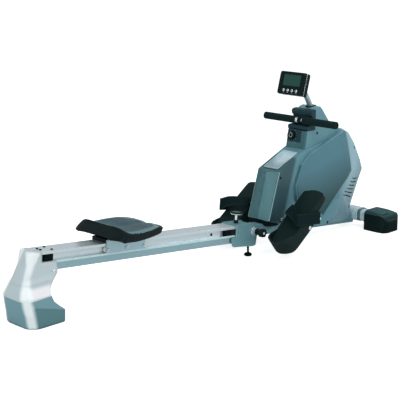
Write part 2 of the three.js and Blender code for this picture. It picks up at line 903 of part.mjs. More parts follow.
const cap_half = cap_depth * half_way;
const cap_outer = cap_inner + cap_length;
const cap_plan = outline(
  [
    [cap_x - cap_half, cap_inner],
    [cap_x + cap_half, cap_inner],
    [cap_x + cap_half, cap_outer],
    [cap_x - cap_half, cap_outer],
  ],
  [4 * mm, 4 * mm, cap_corner, cap_corner],
);
const cap_front = outline(
  [
    [cap_inner - overrun, 0],
    [cap_outer + overrun, 0],
    [cap_outer + overrun, cap_end_height * 0.92],
    [cap_outer, cap_end_height],
    [cap_inner + cap_length * 0.84, cap_height * 0.86],
    [cap_inner + cap_length * 0.3, cap_height],
    [cap_inner - overrun, cap_height],
  ],
  [0, 0, 0, cap_length * 0.12, cap_length * 0.3, cap_length * 0.3, 0],
);
const cap_side = outline(
  [
    [cap_x - cap_half - overrun, 0],
    [cap_x + cap_half + overrun, 0],
    [cap_x + cap_half + overrun, cap_shoulder * 0.9],
    [cap_x + cap_half, cap_shoulder * 0.94],
    [cap_x + cap_half * 0.72, cap_height],
    [cap_x - cap_half * 0.72, cap_height],
    [cap_x - cap_half, cap_shoulder],
    [cap_x - cap_half - overrun, cap_shoulder * 0.9],
  ],
  [0, 0, 0, cap_half * 0.3, cap_half * 0.3, cap_half * 0.3, cap_half * 0.2, 0],
);
const rib_count = 9;
const rib_radius = 2.6 * mm;
const rib_foot = 8 * mm;
function cap_body() {
  const body = solid(along_z(cap_plan, 0, cap_height, 10));
  const front_trim = solid(along_x(cap_front, cap_x - cap_depth, cap_x + cap_depth, 8));
  const side_trim = solid(along_y(cap_side, cap_inner - overrun, cap_outer + overrun, 8));
  const socket = solid(along_y(stabiliser_outline(gap), cap_inner - overrun, stabiliser_end + gap, 4));
  const pocket_plan = outline(
    box_points(
      cap_x - cap_half + 3 * cap_wall,
      cap_inner + 3 * cap_wall,
      cap_x + cap_half - 3 * cap_wall,
      cap_outer - 7 * cap_wall,
    ),
    3 * cap_wall,
  );
  const pocket = solid(along_z(pocket_plan, -overrun, stabiliser_lift - 3 * cap_wall, 4));
  const middle_rib = solid(
    along_y(
      outline(box_points(cap_x - 2 * cap_wall, 0, cap_x + 2 * cap_wall, stabiliser_lift)),
      cap_inner + cap_wall,
      cap_outer - 4 * cap_wall,
    )
  );
  const cuts = [socket];
  for (let i = 0; i < rib_count; i += 1) {
    const x = cap_x + cap_half * 0.8 * ((2 * i) / (rib_count - 1) - 1);
    const groove = on_z(rod_y(rib_radius, rib_foot, cap_end_height * 0.8, 8));
    const inward = Math.min(1, (cap_half - Math.abs(x - cap_x)) / cap_corner);
    const y = cap_outer - cap_corner * (1 - Math.sqrt(inward)) ** 2;
    cuts.push(solid(groove.translate(x, y + rib_radius * 0.2, 0)));
  }
  const whole = body.intersect(front_trim).intersect(side_trim);
  return cut(joined(cut(whole, pocket), middle_rib.intersect(whole)), ...cuts);
}
const far_cap = skin(cap_body());
place(machine, 'stabiliser_cap_far', far_cap, black_plastic());
place(machine, 'stabiliser_cap_near', mirrored(far_cap), black_plastic());

// Rear foot: a boot over the rail's end, spreading to a wide sole

const boot_levels = [
  // height, rearmost X, foremost X, half width, corner radius
  [0 * mm, boot_sole_x + 3 * mm, boot_front_x - 4 * mm, boot_sole_half - 3 * mm, 42 * mm],
  [5 * mm, boot_sole_x, boot_front_x - 3 * mm, boot_sole_half, 44 * mm],
  [48 * mm, boot_sole_x - 5 * mm, boot_front_x, boot_sole_half - 2 * mm, 44 * mm],
  [68 * mm, boot_sole_x - 9 * mm, boot_front_x - boot_arch * 0.42, boot_sole_half - 4 * mm, 42 * mm],
  [88 * mm, boot_sole_x - 12 * mm, boot_front_x - boot_arch * 0.8, boot_sole_half - 6 * mm, 40 * mm],
  [boot_knee_z, boot_knee_x, boot_front_x - boot_arch, boot_knee_half, 38 * mm],
  [140 * mm, boot_knee_x + 8 * mm, boot_front_x - boot_arch * 0.88, boot_knee_half - 11 * mm, 34 * mm],
  [163 * mm, boot_knee_x + 18 * mm, boot_front_x - boot_arch * 0.5, boot_knee_half - 21 * mm, 31 * mm],
  [186 * mm, boot_knee_x + 30 * mm, boot_front_x, boot_top_half + 7 * mm, 28 * mm],
  [230 * mm, boot_knee_x + 51 * mm, boot_front_x + 1 * mm, boot_top_half + 2 * mm, 26 * mm],
  [305 * mm, boot_top_x - 8 * mm, boot_front_x + 1 * mm, boot_top_half, 24 * mm],
];
function boot_ring([z, rear, front, half, rear_radius], shrink = 0) {
  const x0 = rear + shrink;
  const x1 = front - shrink;
  const y = half - shrink;
  const back = rear_radius - shrink;
  const fore = 10 * mm - shrink;
  const ring = [];
  const corners = [
    [x1 - fore, y - fore, fore, 0],
    [x0 + back, y - back, back, 1],
    [x0 + back, back - y, back, 2],
    [x1 - fore, fore - y, fore, 3],
  ];
  for (const [cx, cy, radius, quarter] of corners) {
    for (let i = 0; i < 4; i += 1) {
      const angle = (quarter + i / 3) * Math.PI * half_way;
      ring.push([cx + radius * Math.cos(angle), cy + radius * Math.sin(angle), z]);
    }
  }
  return ring;
}
const boot_solid = solid(lofted(boot_levels.map((level) => boot_ring(level))));
const boot_hollow = solid(lofted(boot_levels.slice(0, 8).map((level, i) => {
  const [z, ...rest] = level;
  return boot_ring([i ? z : -overrun, ...rest], boot_wall);
})));
const rail_keepout = solid(
  along_x(
    outline(box_points(-rail_half - gap, rail_bottom - gap, rail_half + gap, rail_top + gap)),
    rail_back - gap,
    0,
  )
    .applyMatrix4(to_incline.clone().invert()),
);
const boot_lid = solid(
  along_x(
    outline(box_points(-rail_width, rail_top, rail_width, rail_top + rail_height)),
    rail_back - rail_height,
    0,
  )
    .applyMatrix4(to_incline.clone().invert()),
);
const boot_windows = solid(
  along_x(
    outline(box_points(-rail_width, channel_floor - gap, rail_width, rail_top + rail_height)),
    rail_back + boot_window,
    0,
  )
    .applyMatrix4(to_incline.clone().invert()),
);
const boot = cut(boot_solid, boot_hollow, rail_keepout, boot_lid, boot_windows);
const boot_mesh = skin(boot);
boot_mesh.applyMatrix4(to_incline);
place(incline, 'rear_foot', boot_mesh, foot_silver());

// Carriage: a channel over the rail on four rollers

const carriage_x = -seat_station;
const carriage_top = rail_top + carriage_gap * 0.3;
const carriage_roof = carriage_top + carriage_wall;
const carriage_inner = rail_half + carriage_gap;
const carriage_outer = carriage_inner + carriage_wall;
const skirt_foot = rail_top - carriage_skirt;
const carriage_profile = outline([
  [-carriage_outer, skirt_foot],
  [-carriage_inner, skirt_foot],
  [-carriage_inner, carriage_top],
  [carriage_inner, carriage_top],
  [carriage_inner, skirt_foot],
  [carriage_outer, skirt_foot],
  [carriage_outer, carriage_roof],
  [-carriage_outer, carriage_roof],
]);
const carriage_parts = [solid(along_x(carriage_profile, -carriage_half, carriage_half))];
const roller_floor = rail_half - channel_depth;
const stations = [['front', 1], ['rear', -1]];
for (const [, sign] of sides) {
  for (const station of [-1, 0, 1]) {
    const head = rod_y(seat_bolt_radius, carriage_outer - running_gap, carriage_outer + seat_bolt_height, 12);
    const shaft = station ? roller_floor + 1.3 * mm : carriage_inner - running_gap;
    const pin = rod_y(seat_pin_radius, shaft, carriage_outer, 12);
    for (const piece of [head, pin]) {
      const turned_piece = sign > 0 ? piece : mirrored(piece);
      carriage_parts.push(solid(turned_piece.translate(station * roller_span, 0, channel_middle)));
    }
  }
}
place(incline, 'seat_carriage', skin(joined(...carriage_parts)), satin_silver(), carriage_x, 0, 0);

const seat_roller_radius = channel_height * half_way - gap;
for (const [side, sign] of sides) {
  for (const [end, station] of stations) {
    const from = roller_floor + 1.6 * mm;
    const roller = turned([
      [seat_pin_radius + gap, 0],
      [seat_roller_radius - 1.5 * mm, 0],
      [seat_roller_radius, 1.5 * mm],
      [seat_roller_radius, seat_roller_width - 1.5 * mm],
      [seat_roller_radius - 1.5 * mm, seat_roller_width],
      [seat_pin_radius + gap, seat_roller_width],
      [seat_pin_radius + gap, 0],
    ]).translate(0, sign > 0 ? from : -from - seat_roller_width, 0);
    const x = carriage_x + station * roller_span;
    place(incline, `seat_roller_${end}_${side}`, roller, nylon_white(), x, 0, channel_middle);
  }
}

// Seat block: a wedge between the leaning carriage and the level seat

const block_x = seat_x;
const [block_s] = incline_of(block_x, seat_base_z);
const block_blank = solid(
  along_y(
    outline(
      box_points(
        block_x - seat_block_length * half_way,
        seat_base_z - 40 * mm,
        block_x + seat_block_length * half_way,
        seat_base_z - gap,
      ),
      [0, 0, 3, 3],
    ),
    -seat_block_half,
    seat_block_half,
  )
);
const block_trim = solid(
  along_x(
    outline(box_points(-rail_width, carriage_roof - rail_height, rail_width, carriage_roof + gap)),
    block_s - rail_height * 2,
    block_s + rail_height * 2,
  ).applyMatrix4(to_incline.clone().invert())
);
const block_mesh = skin(cut(block_blank, block_trim));
block_mesh.applyMatrix4(to_incline);
place(incline, 'seat_base', block_mesh, black_plastic());

// Seat pad: a saddle with a raised rear ridge, two shallow lobes and a rounded nose

const seat_rows = 16;
const seat_columns = 14;
function seat_half_at(share) {
  const run = share * seat_length;
  const rear = Math.max(0, seat_rear_corner - run);
  const front = Math.max(0, seat_front_corner - (seat_length - run));
  const body = seat_half + (seat_front_half - seat_half) * Math.max(0, share - 0.3) * 1.4;
  const drop = (corner, left) => corner - Math.sqrt(corner ** 2 - left ** 2);
  return body - drop(seat_rear_corner, rear) - drop(seat_front_corner, front);
}
function seat_top_at(share, across) {
  const side = Math.abs(across);
  const behind = share < seat_crest_share;
  const reach_share = behind ? seat_crest_share : 0.2;
  const slope = Math.min(1, Math.abs(share - seat_crest_share) / reach_share);
  const fall = behind ? slope : Math.sin(slope * Math.PI * half_way);
  const low = behind ? seat_rear_lip : seat_dish;
  const crest = (seat_ridge - low) * (1 - fall) * (1 - side ** 6);
  const rim = (seat_edge + 4 * mm - seat_dish) * side ** 4;
  const nose = 6 * mm * Math.max(0, (share - 0.8) / 0.2) ** 2;
  const groove = 5 * mm * Math.exp(-((across / 0.16) ** 2)) * Math.min(1, Math.max(0, share - 0.3) * 4);
  return low + crest + rim * (behind ? share / seat_crest_share : 1) - nose - groove;
}
const seat_rings = [];
for (let i = 0; i <= seat_rows; i += 1) {
  const share = half_way - half_way * Math.cos((Math.PI * i) / seat_rows);
  const x = (share - half_way) * seat_length;
  const half = seat_half_at(share);
  const rear_tuck = 32 * mm * Math.max(0, 1 - share / 0.14);
  const top = [];
  const foot = [];
  for (let j = 0; j <= seat_columns; j += 1) {
    const across = (2 * j) / seat_columns - 1 * mm;
    const eased = Math.sin(across * Math.PI * half_way);
    top.push([x, eased * half, seat_top_at(share, eased)]);
    foot.push(
      [
        x + rear_tuck - 6 * mm * Math.max(0, share - 0.9) / 0.1,
        eased * (half - 8 * mm),
        rear_tuck * 0.1,
      ]
    );
  }
  seat_rings.push([...top, ...foot.reverse()]);
}
const seat_mesh = lofted(seat_rings).translate(seat_x, 0, seat_base_z).applyMatrix4(to_incline);
place(incline, 'seat_pad', seat_mesh, black_rubber());

// Line of the console's arm, from the bend above the post up to the console's hinge

const case_half = console_depth * half_way;
const hinge_in = case_half + knuckle_offset * 0.8;
const hinge_up = knuckle_offset * 0.7;
const knuckle_x = console_x + hinge_in * Math.cos(console_tilt) + hinge_up * Math.sin(console_tilt);
const knuckle_z = console_z - hinge_in * Math.sin(console_tilt) + hinge_up * Math.cos(console_tilt);
const arm_exit = new THREE.Vector3(arm_exit_x, 0, arm_exit_z);
const arm_knee = new THREE.Vector3(
  arm_exit_x + arm_rise * Math.cos(arm_lean),
  0,
  arm_exit_z + arm_rise * Math.sin(arm_lean),
);
const knuckle_point = new THREE.Vector3(knuckle_x, 0, knuckle_z);
const arm_toward = knuckle_point.clone().sub(arm_knee).normalize();
const arm_stop = ear_radius + arm_radius;
const neck_heading = Math.atan2(arm_toward.z, arm_toward.x);

// Housing: a shroud round the frame, a tower for the handle, and a dome over the flywheel,
// made as one thin shell in two halves that meet on the centre plane

const shroud_points = [
  [housing_x, 160 * mm],
  ...sized([
    [310, 150], [480, 105], [689, 60], [800, 100], [850, 300], [800, 440], [700, 480], [548, 464],
  ]),
  [tray_x - 13 * mm, deck_z - 6 * mm],
];
const shroud_ridge_points = shroud_points.map(([x, z], i) => {
  if (i === 0) return [x - ridge_low, z + ridge_low];
  return i === shroud_points.length - 1 * mm ? [x - ridge_high, z - ridge_high * deck_rise] : [x, z];
});
const tower_points = [
  [tower_foot_x, tower_foot_z],
  ...sized([
    [600, 400], [800, 400], [850, 480], [835, 516], [748, 553], [721, 574], [673, 632], [655, 649],
    [630, 645], [598, 622], [560, 598],
  ]),
  [tower_face_x, tower_face_z],
];
const rim_points = sized([
  [470, 400], [430, 250], [440, 150], [560, 80], [722, 44], [882, 28], [943, 29], [946, 115],
  [1001, 226], [1036, 289], [1016, 339], [962, 431], [911, 491], [857, 517], [790, 512], [600, 470],
]);
const ridge_points = sized([
  [500, 395], [455, 300], [470, 225], [547, 264], [625, 150], [662, 117], [724, 176], [787, 225],
  [850, 275], [882, 311], [872, 359], [852, 428], [824, 513], [812, 520], [772, 508], [556, 440],
]);

// Where a ray from the dome's middle meets an outline.
function reach(points, angle) {
  const [dx, dz] = [Math.cos(angle), Math.sin(angle)];
  let best = 0;
  points.forEach(([ax, az], i) => {
    const [bx, bz] = points[(i + 1) % points.length];
    const [ex, ez] = [bx - ax, bz - az];
    const across = dx * ez - dz * ex;
    if (Math.abs(across) < weld) return;
    const t = ((ax - dome_x) * ez - (az - dome_z) * ex) / across;
    const u = ((ax - dome_x) * dz - (az - dome_z) * dx) / across;
    if (t > best && u > -weld && u < 1 + weld) best = t;
  });
  return best;
}
const bearing = ([x, z]) => (Math.atan2(z - dome_z, x - dome_x) + full_turn) % full_turn;
const dome_bearings = [...new Set([...rim_points, ...ridge_points].map((p) => bearing(p).toFixed(4)))]
  .map(Number)
  .sort((a, b) => a - b)
  .filter((angle, i, all) => !i || angle - all[i - 1] > 1.2 * degree);
function dome_ring(points, y, share = 1, wall = 0) {
  return dome_bearings.map((angle) => {
    const r = reach(points, angle) * share - wall;
    return [dome_x + r * Math.cos(angle), y, dome_z + r * Math.sin(angle)];
  });
}
function dome_half(wall = 0) {
  return solid(lofted([
    dome_ring(rim_points, 0, 1, wall),
    dome_ring(rim_points, rim_half, 1, wall),
    dome_ring(ridge_points, ridge_half - wall, 1, wall),
    dome_ring(ridge_points, (ridge_half + crown_half) * half_way - wall, (2 + crown_share) / 3, wall),
    dome_ring(ridge_points, crown_half - wall, crown_share * 0.86, wall),
  ]));
}
function housing_far(wall = 0) {
  const shroud_middle = inset(shroud_ridge_points, wall);
  const shroud = solid(
    chamfered_y(inset(shroud_points, wall), shroud_half - wall, housing_bevel, shroud_middle)
  );
  const tower = solid(chamfered_y(inset(tower_points, wall), tower_half - wall, housing_bevel));
  const halves = joined(shroud, tower, dome_half(wall));
  const keep = solid(
    along_y(
      outline(box_points(0, -overrun, 4 * housing_x, 2 * housing_height)),
      wall ? -overrun : gap * half_way,
      2 * crown_half,
    )
  );
  return halves.intersect(keep);
}
const housing_shell = cut(housing_far(), housing_far(housing_wall));

const cradle_top = cradle_foot + cradle_height;
const cradle_points = [
  [cradle_back, cradle_foot],
  [cradle_back, cradle_top],
  ...sized([
    [585, 637], [578, 628], [583, 612], [590, 609], [592, 606], [592, 568], [588, 566], [562, 565],
    [553, 561], [554, 548],
  ]),
  [560 * mm, cradle_foot],
];
const cradle_side = outline(cradle_points, sized([3, 5, 6, 3, 3, 2, 6, 6, 2, 3, 5, 5, 4]));
const cradle_room = outline(
  box_points(cradle_back - 2 * cradle_depth, cradle_foot - gap, cradle_back + gap, cradle_top + gap),
);

const deck_lean = Math.atan(deck_rise);
const deck = new THREE.Group();
deck.position.set(tray_x, 0, deck_z);
deck.rotation.y = -deck_lean;
machine.add(deck);
const to_world = new THREE.Matrix4().makeTranslation(tray_x, 0, deck_z).multiply(
  new THREE.Matrix4().makeRotationY(-deck_lean)
);
const tray_length = tray_run / Math.cos(deck_lean);
const basin_points = box_points(
  tray_flange,
  -tray_half + tray_flange,
  tray_length - tray_flange,
  tray_half - tray_flange,
);
const tray_opening = solid(along_z(outline(box_points(
  tray_flange - gap,
  -tray_half + tray_flange - gap,
  tray_length - tray_flange + gap,
  tray_half - tray_flange + gap,
)), -overrun * 2, overrun).applyMatrix4(to_world));

const face_lean = Math.atan2(tower_face_x - tower_foot_x, tower_face_z - tower_foot_z);
const tower_face = new THREE.Group();
tower_face.position.set(tower_foot_x, 0, tower_foot_z);
tower_face.rotation.y = face_lean;
machine.add(tower_face);
const face_to_world = new THREE.Matrix4().makeTranslation(tower_foot_x, 0, tower_foot_z).multiply(
  new THREE.Matrix4().makeRotationY(face_lean)
);
const knob_rise = (knob_z - tower_foot_z) / Math.cos(face_lean);
const plate_from = knob_rise - knob_plate_height * half_way;
const plate_to = knob_rise + knob_plate_height * half_way;
const plate_y0 = knob_plate_y - knob_plate_width * half_way;
const plate_y1 = knob_plate_y + knob_plate_width * half_way;
const plate_window = solid(
  along_x(
    outline(box_points(plate_y0 - gap, plate_from - gap, plate_y1 + gap, plate_to + gap), 4 * mm),
    -overrun,
    overrun,
    3,
  ).applyMatrix4(face_to_world)
);

const room_half = beam_half + beam_slot_gap;
const beam_room = solid(
  along_x(
    outline(box_points(-room_half, 2 * beam_bottom, room_half, beam_top + beam_slot_gap)),
    -beam_tongue,
    beam_front + overrun,
    2,
  ).applyMatrix4(to_incline.clone().invert())
);
const saddle_room = solid(
  along_y(stabiliser_outline(saddle_proud + gap), -2 * crown_half, 2 * crown_half, 4)
);
const axle_room = solid(
  rod_y(pedal_axle_radius + 6 * mm, -2 * crown_half, 2 * crown_half).translate(pedal_x, 0, pedal_z)
);
const arm_room = solid(
  on_x(
    rod_y(grommet_radius + gap, -overrun * 2, overrun * 2, lathe_steps)
  ).rotateY(-arm_lean).translate(arm_exit.x, 0, arm_exit.z)
);

// Vent slots low on the dome's front band
const vent_tools = [];
for (let i = 0; i < vent_count; i += 1) {
  const share = i / (vent_count - 1);
  const from = [vent_x + vent_spread * share, vent_z + vent_spread * share];
  const to = [vent_tip_x + vent_tip_run * share, vent_tip_z + vent_tip_rise * share];
  const run = Math.hypot(to[0] - from[0], to[1] - from[1]);
  const shape = outline(
    box_points(0, -vent_width * half_way, run, vent_width * half_way),
    vent_width * corner_share,
  );
  const slot = along_y(shape, -2 * crown_half, -rim_half, 3);
  const turn = Math.atan2(to[1] - from[1], to[0] - from[0]);
  vent_tools.push(solid(slot.rotateY(-turn).translate(from[0], 0, from[1])));
}

const ridge_panel = solid(along_y(outline(inset(ridge_points, panel_inset), 0), tower_half, 2 * crown_half));
const ridge_slot = solid(
  along_y(
    outline(inset(ridge_points, panel_inset - panel_gap * half_way), 0),
    tower_half,
    2 * crown_half,
  )
);

function shell_side(sign) {
  const half = sign > 0 ? housing_shell : solid(mirrored(skin(housing_shell)));
  const tools = [tray_opening, plate_window, beam_room, saddle_room, axle_room, arm_room,
    solid(along_y(cradle_room, -2 * crown_half, 2 * crown_half))];
  return cut(half, ...tools, ...(sign < 0 ? vent_tools : []));
}
for (const [side, sign] of sides) {
  const shell = shell_side(sign);
  const flip = (tool) => (sign > 0 ? tool : solid(mirrored(skin(tool))));
  const panel = shell.intersect(flip(ridge_panel));
  place(machine, `housing_shell_${side}`, skin(cut(shell, flip(ridge_slot))), housing_paint());
  place(machine, `side_panel_${side}`, skin(panel), panel_paint());
}

// Tray: a flanged basin let into the deck

const rect_ring = (points, z) => points.map(([x, y]) => [x, y, z]);
const tray_rim = solid(
  along_z(outline(box_points(0, -tray_half, tray_length, tray_half), 9 * mm), gap, gap + tray_proud, 4)
);
const basin_taper = 11 * mm;
const basin_outer = solid(lofted([
  rect_ring(inset(basin_points, basin_taper), -tray_depth),
  rect_ring(basin_points, -tray_flange * half_way),
  rect_ring(basin_points, gap + tray_proud * half_way),
]));
const basin_inner = solid(lofted([
  rect_ring(inset(basin_points, basin_taper + tray_wall), tray_wall - tray_depth),
  rect_ring(inset(basin_points, tray_wall), -tray_flange * half_way),
  rect_ring(inset(basin_points, tray_wall), overrun),
]));
place(deck, 'tray', skin(cut(joined(tray_rim, basin_outer), basin_inner)), satin_silver());

// Knob plate and tension knob on the tower's rear face

const plate_shape = outline(box_points(plate_y0, plate_from, plate_y1, plate_to), 4 * mm);
hole(plate_shape, knob_y, knob_rise, knob_stem_radius + running_gap);
const plate_out = -knob_plate_thickness * 0.4;
const plate_in = plate_out + knob_plate_thickness;
place(tower_face, 'knob_panel', along_x(plate_shape, plate_out, plate_in, 6), black_plastic());

const knob_back = plate_out - gap;
const knob_front = knob_back - knob_height;
const knob_blank = solid(on_x(turned([
  [0, knob_front + 1.5 * mm],
  [knob_radius - 8 * mm, knob_front + 1.5 * mm],
  [knob_radius - 6 * mm, knob_front],
  [knob_radius - 3 * mm, knob_front],
  [knob_radius - 1 * mm, knob_front + 2 * mm],
  [knob_radius, knob_back - 3 * mm],
  [knob_radius, knob_back],
  [knob_stem_radius, knob_back],
  [knob_stem_radius, knob_back + knob_stem_length],
  [0, knob_back + knob_stem_length],
])));
const flutes = [];
for (let i = 0; i < knob_flutes; i += 1) {
  const angle = (i * full_turn) / knob_flutes;
  const r = knob_radius + 1.6 * mm;
  const flute = on_x(rod_y(3 * mm, knob_front - overrun, knob_back - 3 * mm, 8));
  flutes.push(solid(flute.translate(0, r * Math.cos(angle), r * Math.sin(angle))));
}
place(tower_face, 'tension_knob', skin(cut(knob_blank, ...flutes)), black_plastic(), 0, knob_y, knob_rise);

// Handle cradle: two lips with a throat between, and a slot for the strap

const cradle_half = tower_half + 1 * mm;
const cradle_blank = solid(along_y(cradle_side, -cradle_half, cradle_half, 4));
const slot_half_width = strap_width * half_way + 4 * mm;
const strap_slot = solid(
  along_x(
    outline(
      box_points(
        -slot_half_width,
        handle_z - slot_height * half_way,
        slot_half_width,
        handle_z + slot_height * half_way,
      ),
      2 * mm,
    ),
    cradle_back - cradle_depth,
    cradle_back + overrun,
    2,
  )
);
const cradle_pocket = solid(
  along_x(
    outline(
      box_points(
        -cradle_half + 7 * mm,
        cradle_foot + 6 * mm,
        cradle_half - 7 * mm,
        cradle_top - 9 * mm,
      ),
      4 * mm,
    ),
    cradle_back - 14 * mm,
    cradle_back + overrun,
    2,
  )
);
place(machine, 'handle_cradle', skin(cut(cradle_blank, strap_slot, cradle_pocket)), black_plastic());

// Handle: a steel bar with a foam grip on each end and a webbing loop round its middle

const collar_half = 3 * mm;
const handle_bar = turned([
  [0, -handle_half + 12 * mm],
  [bar_radius, -handle_half + 12 * mm],
  [bar_radius, handle_waist * 0.3],
  [bar_radius + 4 * mm, handle_waist * 0.3],
  [bar_radius + 4 * mm, handle_waist * 0.3 + collar_half],
  [bar_radius, handle_waist * 0.3 + collar_half],
  [bar_radius, handle_waist * 0.65],
  [bar_radius + 4 * mm, handle_waist * 0.65],
  [bar_radius + 4 * mm, handle_waist * 0.65 + collar_half],
  [bar_radius, handle_waist * 0.65 + collar_half],
  [bar_radius, handle_half - 12 * mm],
  [0, handle_half - 12 * mm],
], 14);
place(machine, 'handle_bar', handle_bar, bright_steel(), handle_x, 0, handle_z);
for (const [side, sign] of sides) {
  const inner = sign > 0 ? handle_waist : handle_waist * 0.8;
  const grip = turned([
    [0, handle_half - 9 * mm],
    [bar_radius + gap, handle_half - 9 * mm],
    [bar_radius + gap, inner],
    [grip_radius - 1 * mm, inner],
    [grip_radius, inner + 1.5 * mm],
    [grip_radius, handle_half - 3 * mm],
    [grip_radius - 3 * mm, handle_half],
    [grip_radius - 7 * mm, handle_half],
    [grip_radius - 8 * mm, handle_half - 3 * mm],
    [0, handle_half - 3 * mm],
  ], 18);
  const made = sign > 0 ? outwards(mergeVertices(grip)) : mirrored(grip);
  place(machine, `grip_${side}`, made, grip_foam(), handle_x, 0, handle_z);
}
const loop_half = handle_waist * 0.3 - running_gap;
const loop_ring = solid(
  ring_y(bar_radius + gap, bar_radius + gap + loop_wall, -strap_width * 0.42, loop_half)
);
const loop_tail_end = grip_radius + 5 * mm;
const loop_tail = solid(
  along_y(
    outline(box_points(bar_radius + 1 * mm, -2.2 * mm, loop_tail_end, 2.2 * mm)),
    -strap_width * 0.42,
    loop_half,
  )
);
place(machine, 'strap_loop', skin(joined(loop_ring, loop_tail)), webbing(), handle_x, 0, handle_z);

// Strap from the handle over its roller and down to the drum

const strap_x0 = handle_x + loop_tail_end + gap;
const strap_half_width = (strap_width - 1 * mm) * half_way;
const half_strap = strap_thickness * half_way;
const strap_shape = outline(box_points(-strap_half_width, -half_strap, strap_half_width, half_strap));
const strap_geometry = along_x(strap_shape, strap_x0 - roller_x, 0);
place(machine, 'strap', strap_geometry, webbing(), roller_x, 0, handle_z);
const roller_z = handle_z - half_strap - gap - roller_radius;
const run_inner = roller_radius + gap;
const run_outer = run_inner + strap_thickness;
const run_points = [];
const run_steps = 7;
for (let i = 0; i <= run_steps; i += 1) {
  const angle = 88 * degree * (1 - i / run_steps);
  run_points.push([roller_x + run_outer * Math.cos(angle), roller_z + run_outer * Math.sin(angle)]);
}
run_points.push([drum_x + drum_radius + gap + strap_thickness, drum_z], [drum_x + drum_radius + gap, drum_z]);
for (let i = run_steps; i >= 0; i -= 1) {
  const angle = 88 * degree * (1 - i / run_steps);
  run_points.push([roller_x + run_inner * Math.cos(angle), roller_z + run_inner * Math.sin(angle)]);
}
place(machine, 'strap_run', along_y(outline(run_points), -strap_half_width, strap_half_width), webbing());

const roller_half = roller_width * half_way;
const post_half = post_width * half_way;
const strap_roller = turned([
  [0, -post_half + post_wall + gap],
  [roller_pin_radius, -post_half + post_wall + gap],
  [roller_pin_radius, -roller_half],
  [roller_radius, -roller_half],
  [roller_radius, roller_half],
  [roller_pin_radius, roller_half],
  [roller_pin_radius, post_half - post_wall - gap],
  [0, post_half - post_wall - gap],
], 12);
place(machine, 'strap_roller', strap_roller, nylon_white(), roller_x, 0, roller_z);

// Upright post: a square tube that carries the console arm and holds the strap roller

const post_inner_half = post_half - post_wall;
const post_x0 = post_x - post_depth * half_way;
const post_x1 = post_x + post_depth * half_way;
const post_shape = outline(box_points(post_x0, -post_half, post_x1, post_half), post_corner);
post_shape.holes.push(
  outline(box_points(post_x0 + post_wall, -post_inner_half, post_x1 - post_wall, post_inner_half))
);
const post_tube = solid(along_z(post_shape, post_foot_z, post_top_z, 2));
const post_slot = solid(
  along_x(
    outline(
      box_points(
        -slot_half_width + 1 * mm,
        handle_z - slot_height * half_way,
        slot_half_width - 1 * mm,
        handle_z + slot_height * half_way,
      )
    ),
    post_x0 - overrun,
    post_x,
  )
);
place(machine, 'upright_post', skin(cut(post_tube, post_slot)), satin_silver());

// Bearing bracket: two plates on the beam that carry the flywheel, the drum and the post

const plate_inner = bearing_gap * half_way;
const plate_outer = plate_inner + bearing_plate;
const saddle_start = level_of(bracket_start, beam_top + gap);
const saddle_end = level_of(bracket_end, beam_top + gap);
const bracket_side = outline([
  saddle_start, saddle_end, [
    flywheel_x + 40 * mm,
    flywheel_z + 20 * mm,
  ], [flywheel_x + 16 * mm, flywheel_z + 42 * mm],
  [
    flywheel_x - 26 * mm,
    flywheel_z + 42 * mm,
  ], [post_x1 + 14 * mm, post_foot_z + 36 * mm], [post_x0 - 14 * mm, post_foot_z + 36 * mm],
  [post_x0 - 24 * mm, drum_z],
], sized([4, 4, 14, 14, 14, 8, 8, 12]));
const magnet_angle = 250 * degree;
const magnet_radius = flywheel_radius + magnet_gap + magnet_thickness * half_way;
const magnet_x = flywheel_x + magnet_radius * Math.cos(magnet_angle);
const magnet_z = flywheel_z + magnet_radius * Math.sin(magnet_angle);
hole(bracket_side, flywheel_x, flywheel_z, axle_radius + gap);
hole(bracket_side, drum_x, drum_z, roller_pin_radius + gap);
const bracket_plates = [plate_inner, -plate_outer].map(
  (y) => solid(along_y(bracket_side, y, y + bearing_plate, 6))
);
const saddle_top = [bracket_end, bracket_start].map((s) => level_of(s, beam_top + gap + bearing_plate));
const bracket_saddle = solid(
  along_y(outline([saddle_start, saddle_end, ...saddle_top]), -plate_outer, plate_outer)
);
const shelf_z = post_foot_z - gap - bearing_plate;
const shelf_shape = outline(box_points(post_x0 - 4 * mm, -plate_outer, post_x1 + 4 * mm, plate_outer));
shelf_shape.holes.push(
  outline(box_points(post_x, -slot_half_width + 1 * mm, post_x1 - post_wall, slot_half_width - 1 * mm))
);
const bracket_shelf = solid(along_z(shelf_shape, shelf_z, shelf_z + bearing_plate));
const magnet_pin = solid(
  rod_y(knuckle_pin_radius, -plate_outer, plate_outer, 12).translate(magnet_x, 0, magnet_z)
);
place(
  machine,
  'bearing_bracket',
  skin(joined(...bracket_plates, bracket_saddle, bracket_shelf, magnet_pin)),
  satin_silver(),
);

// Flywheel with its pinion, strap drum with its pulley, axles and drive belt

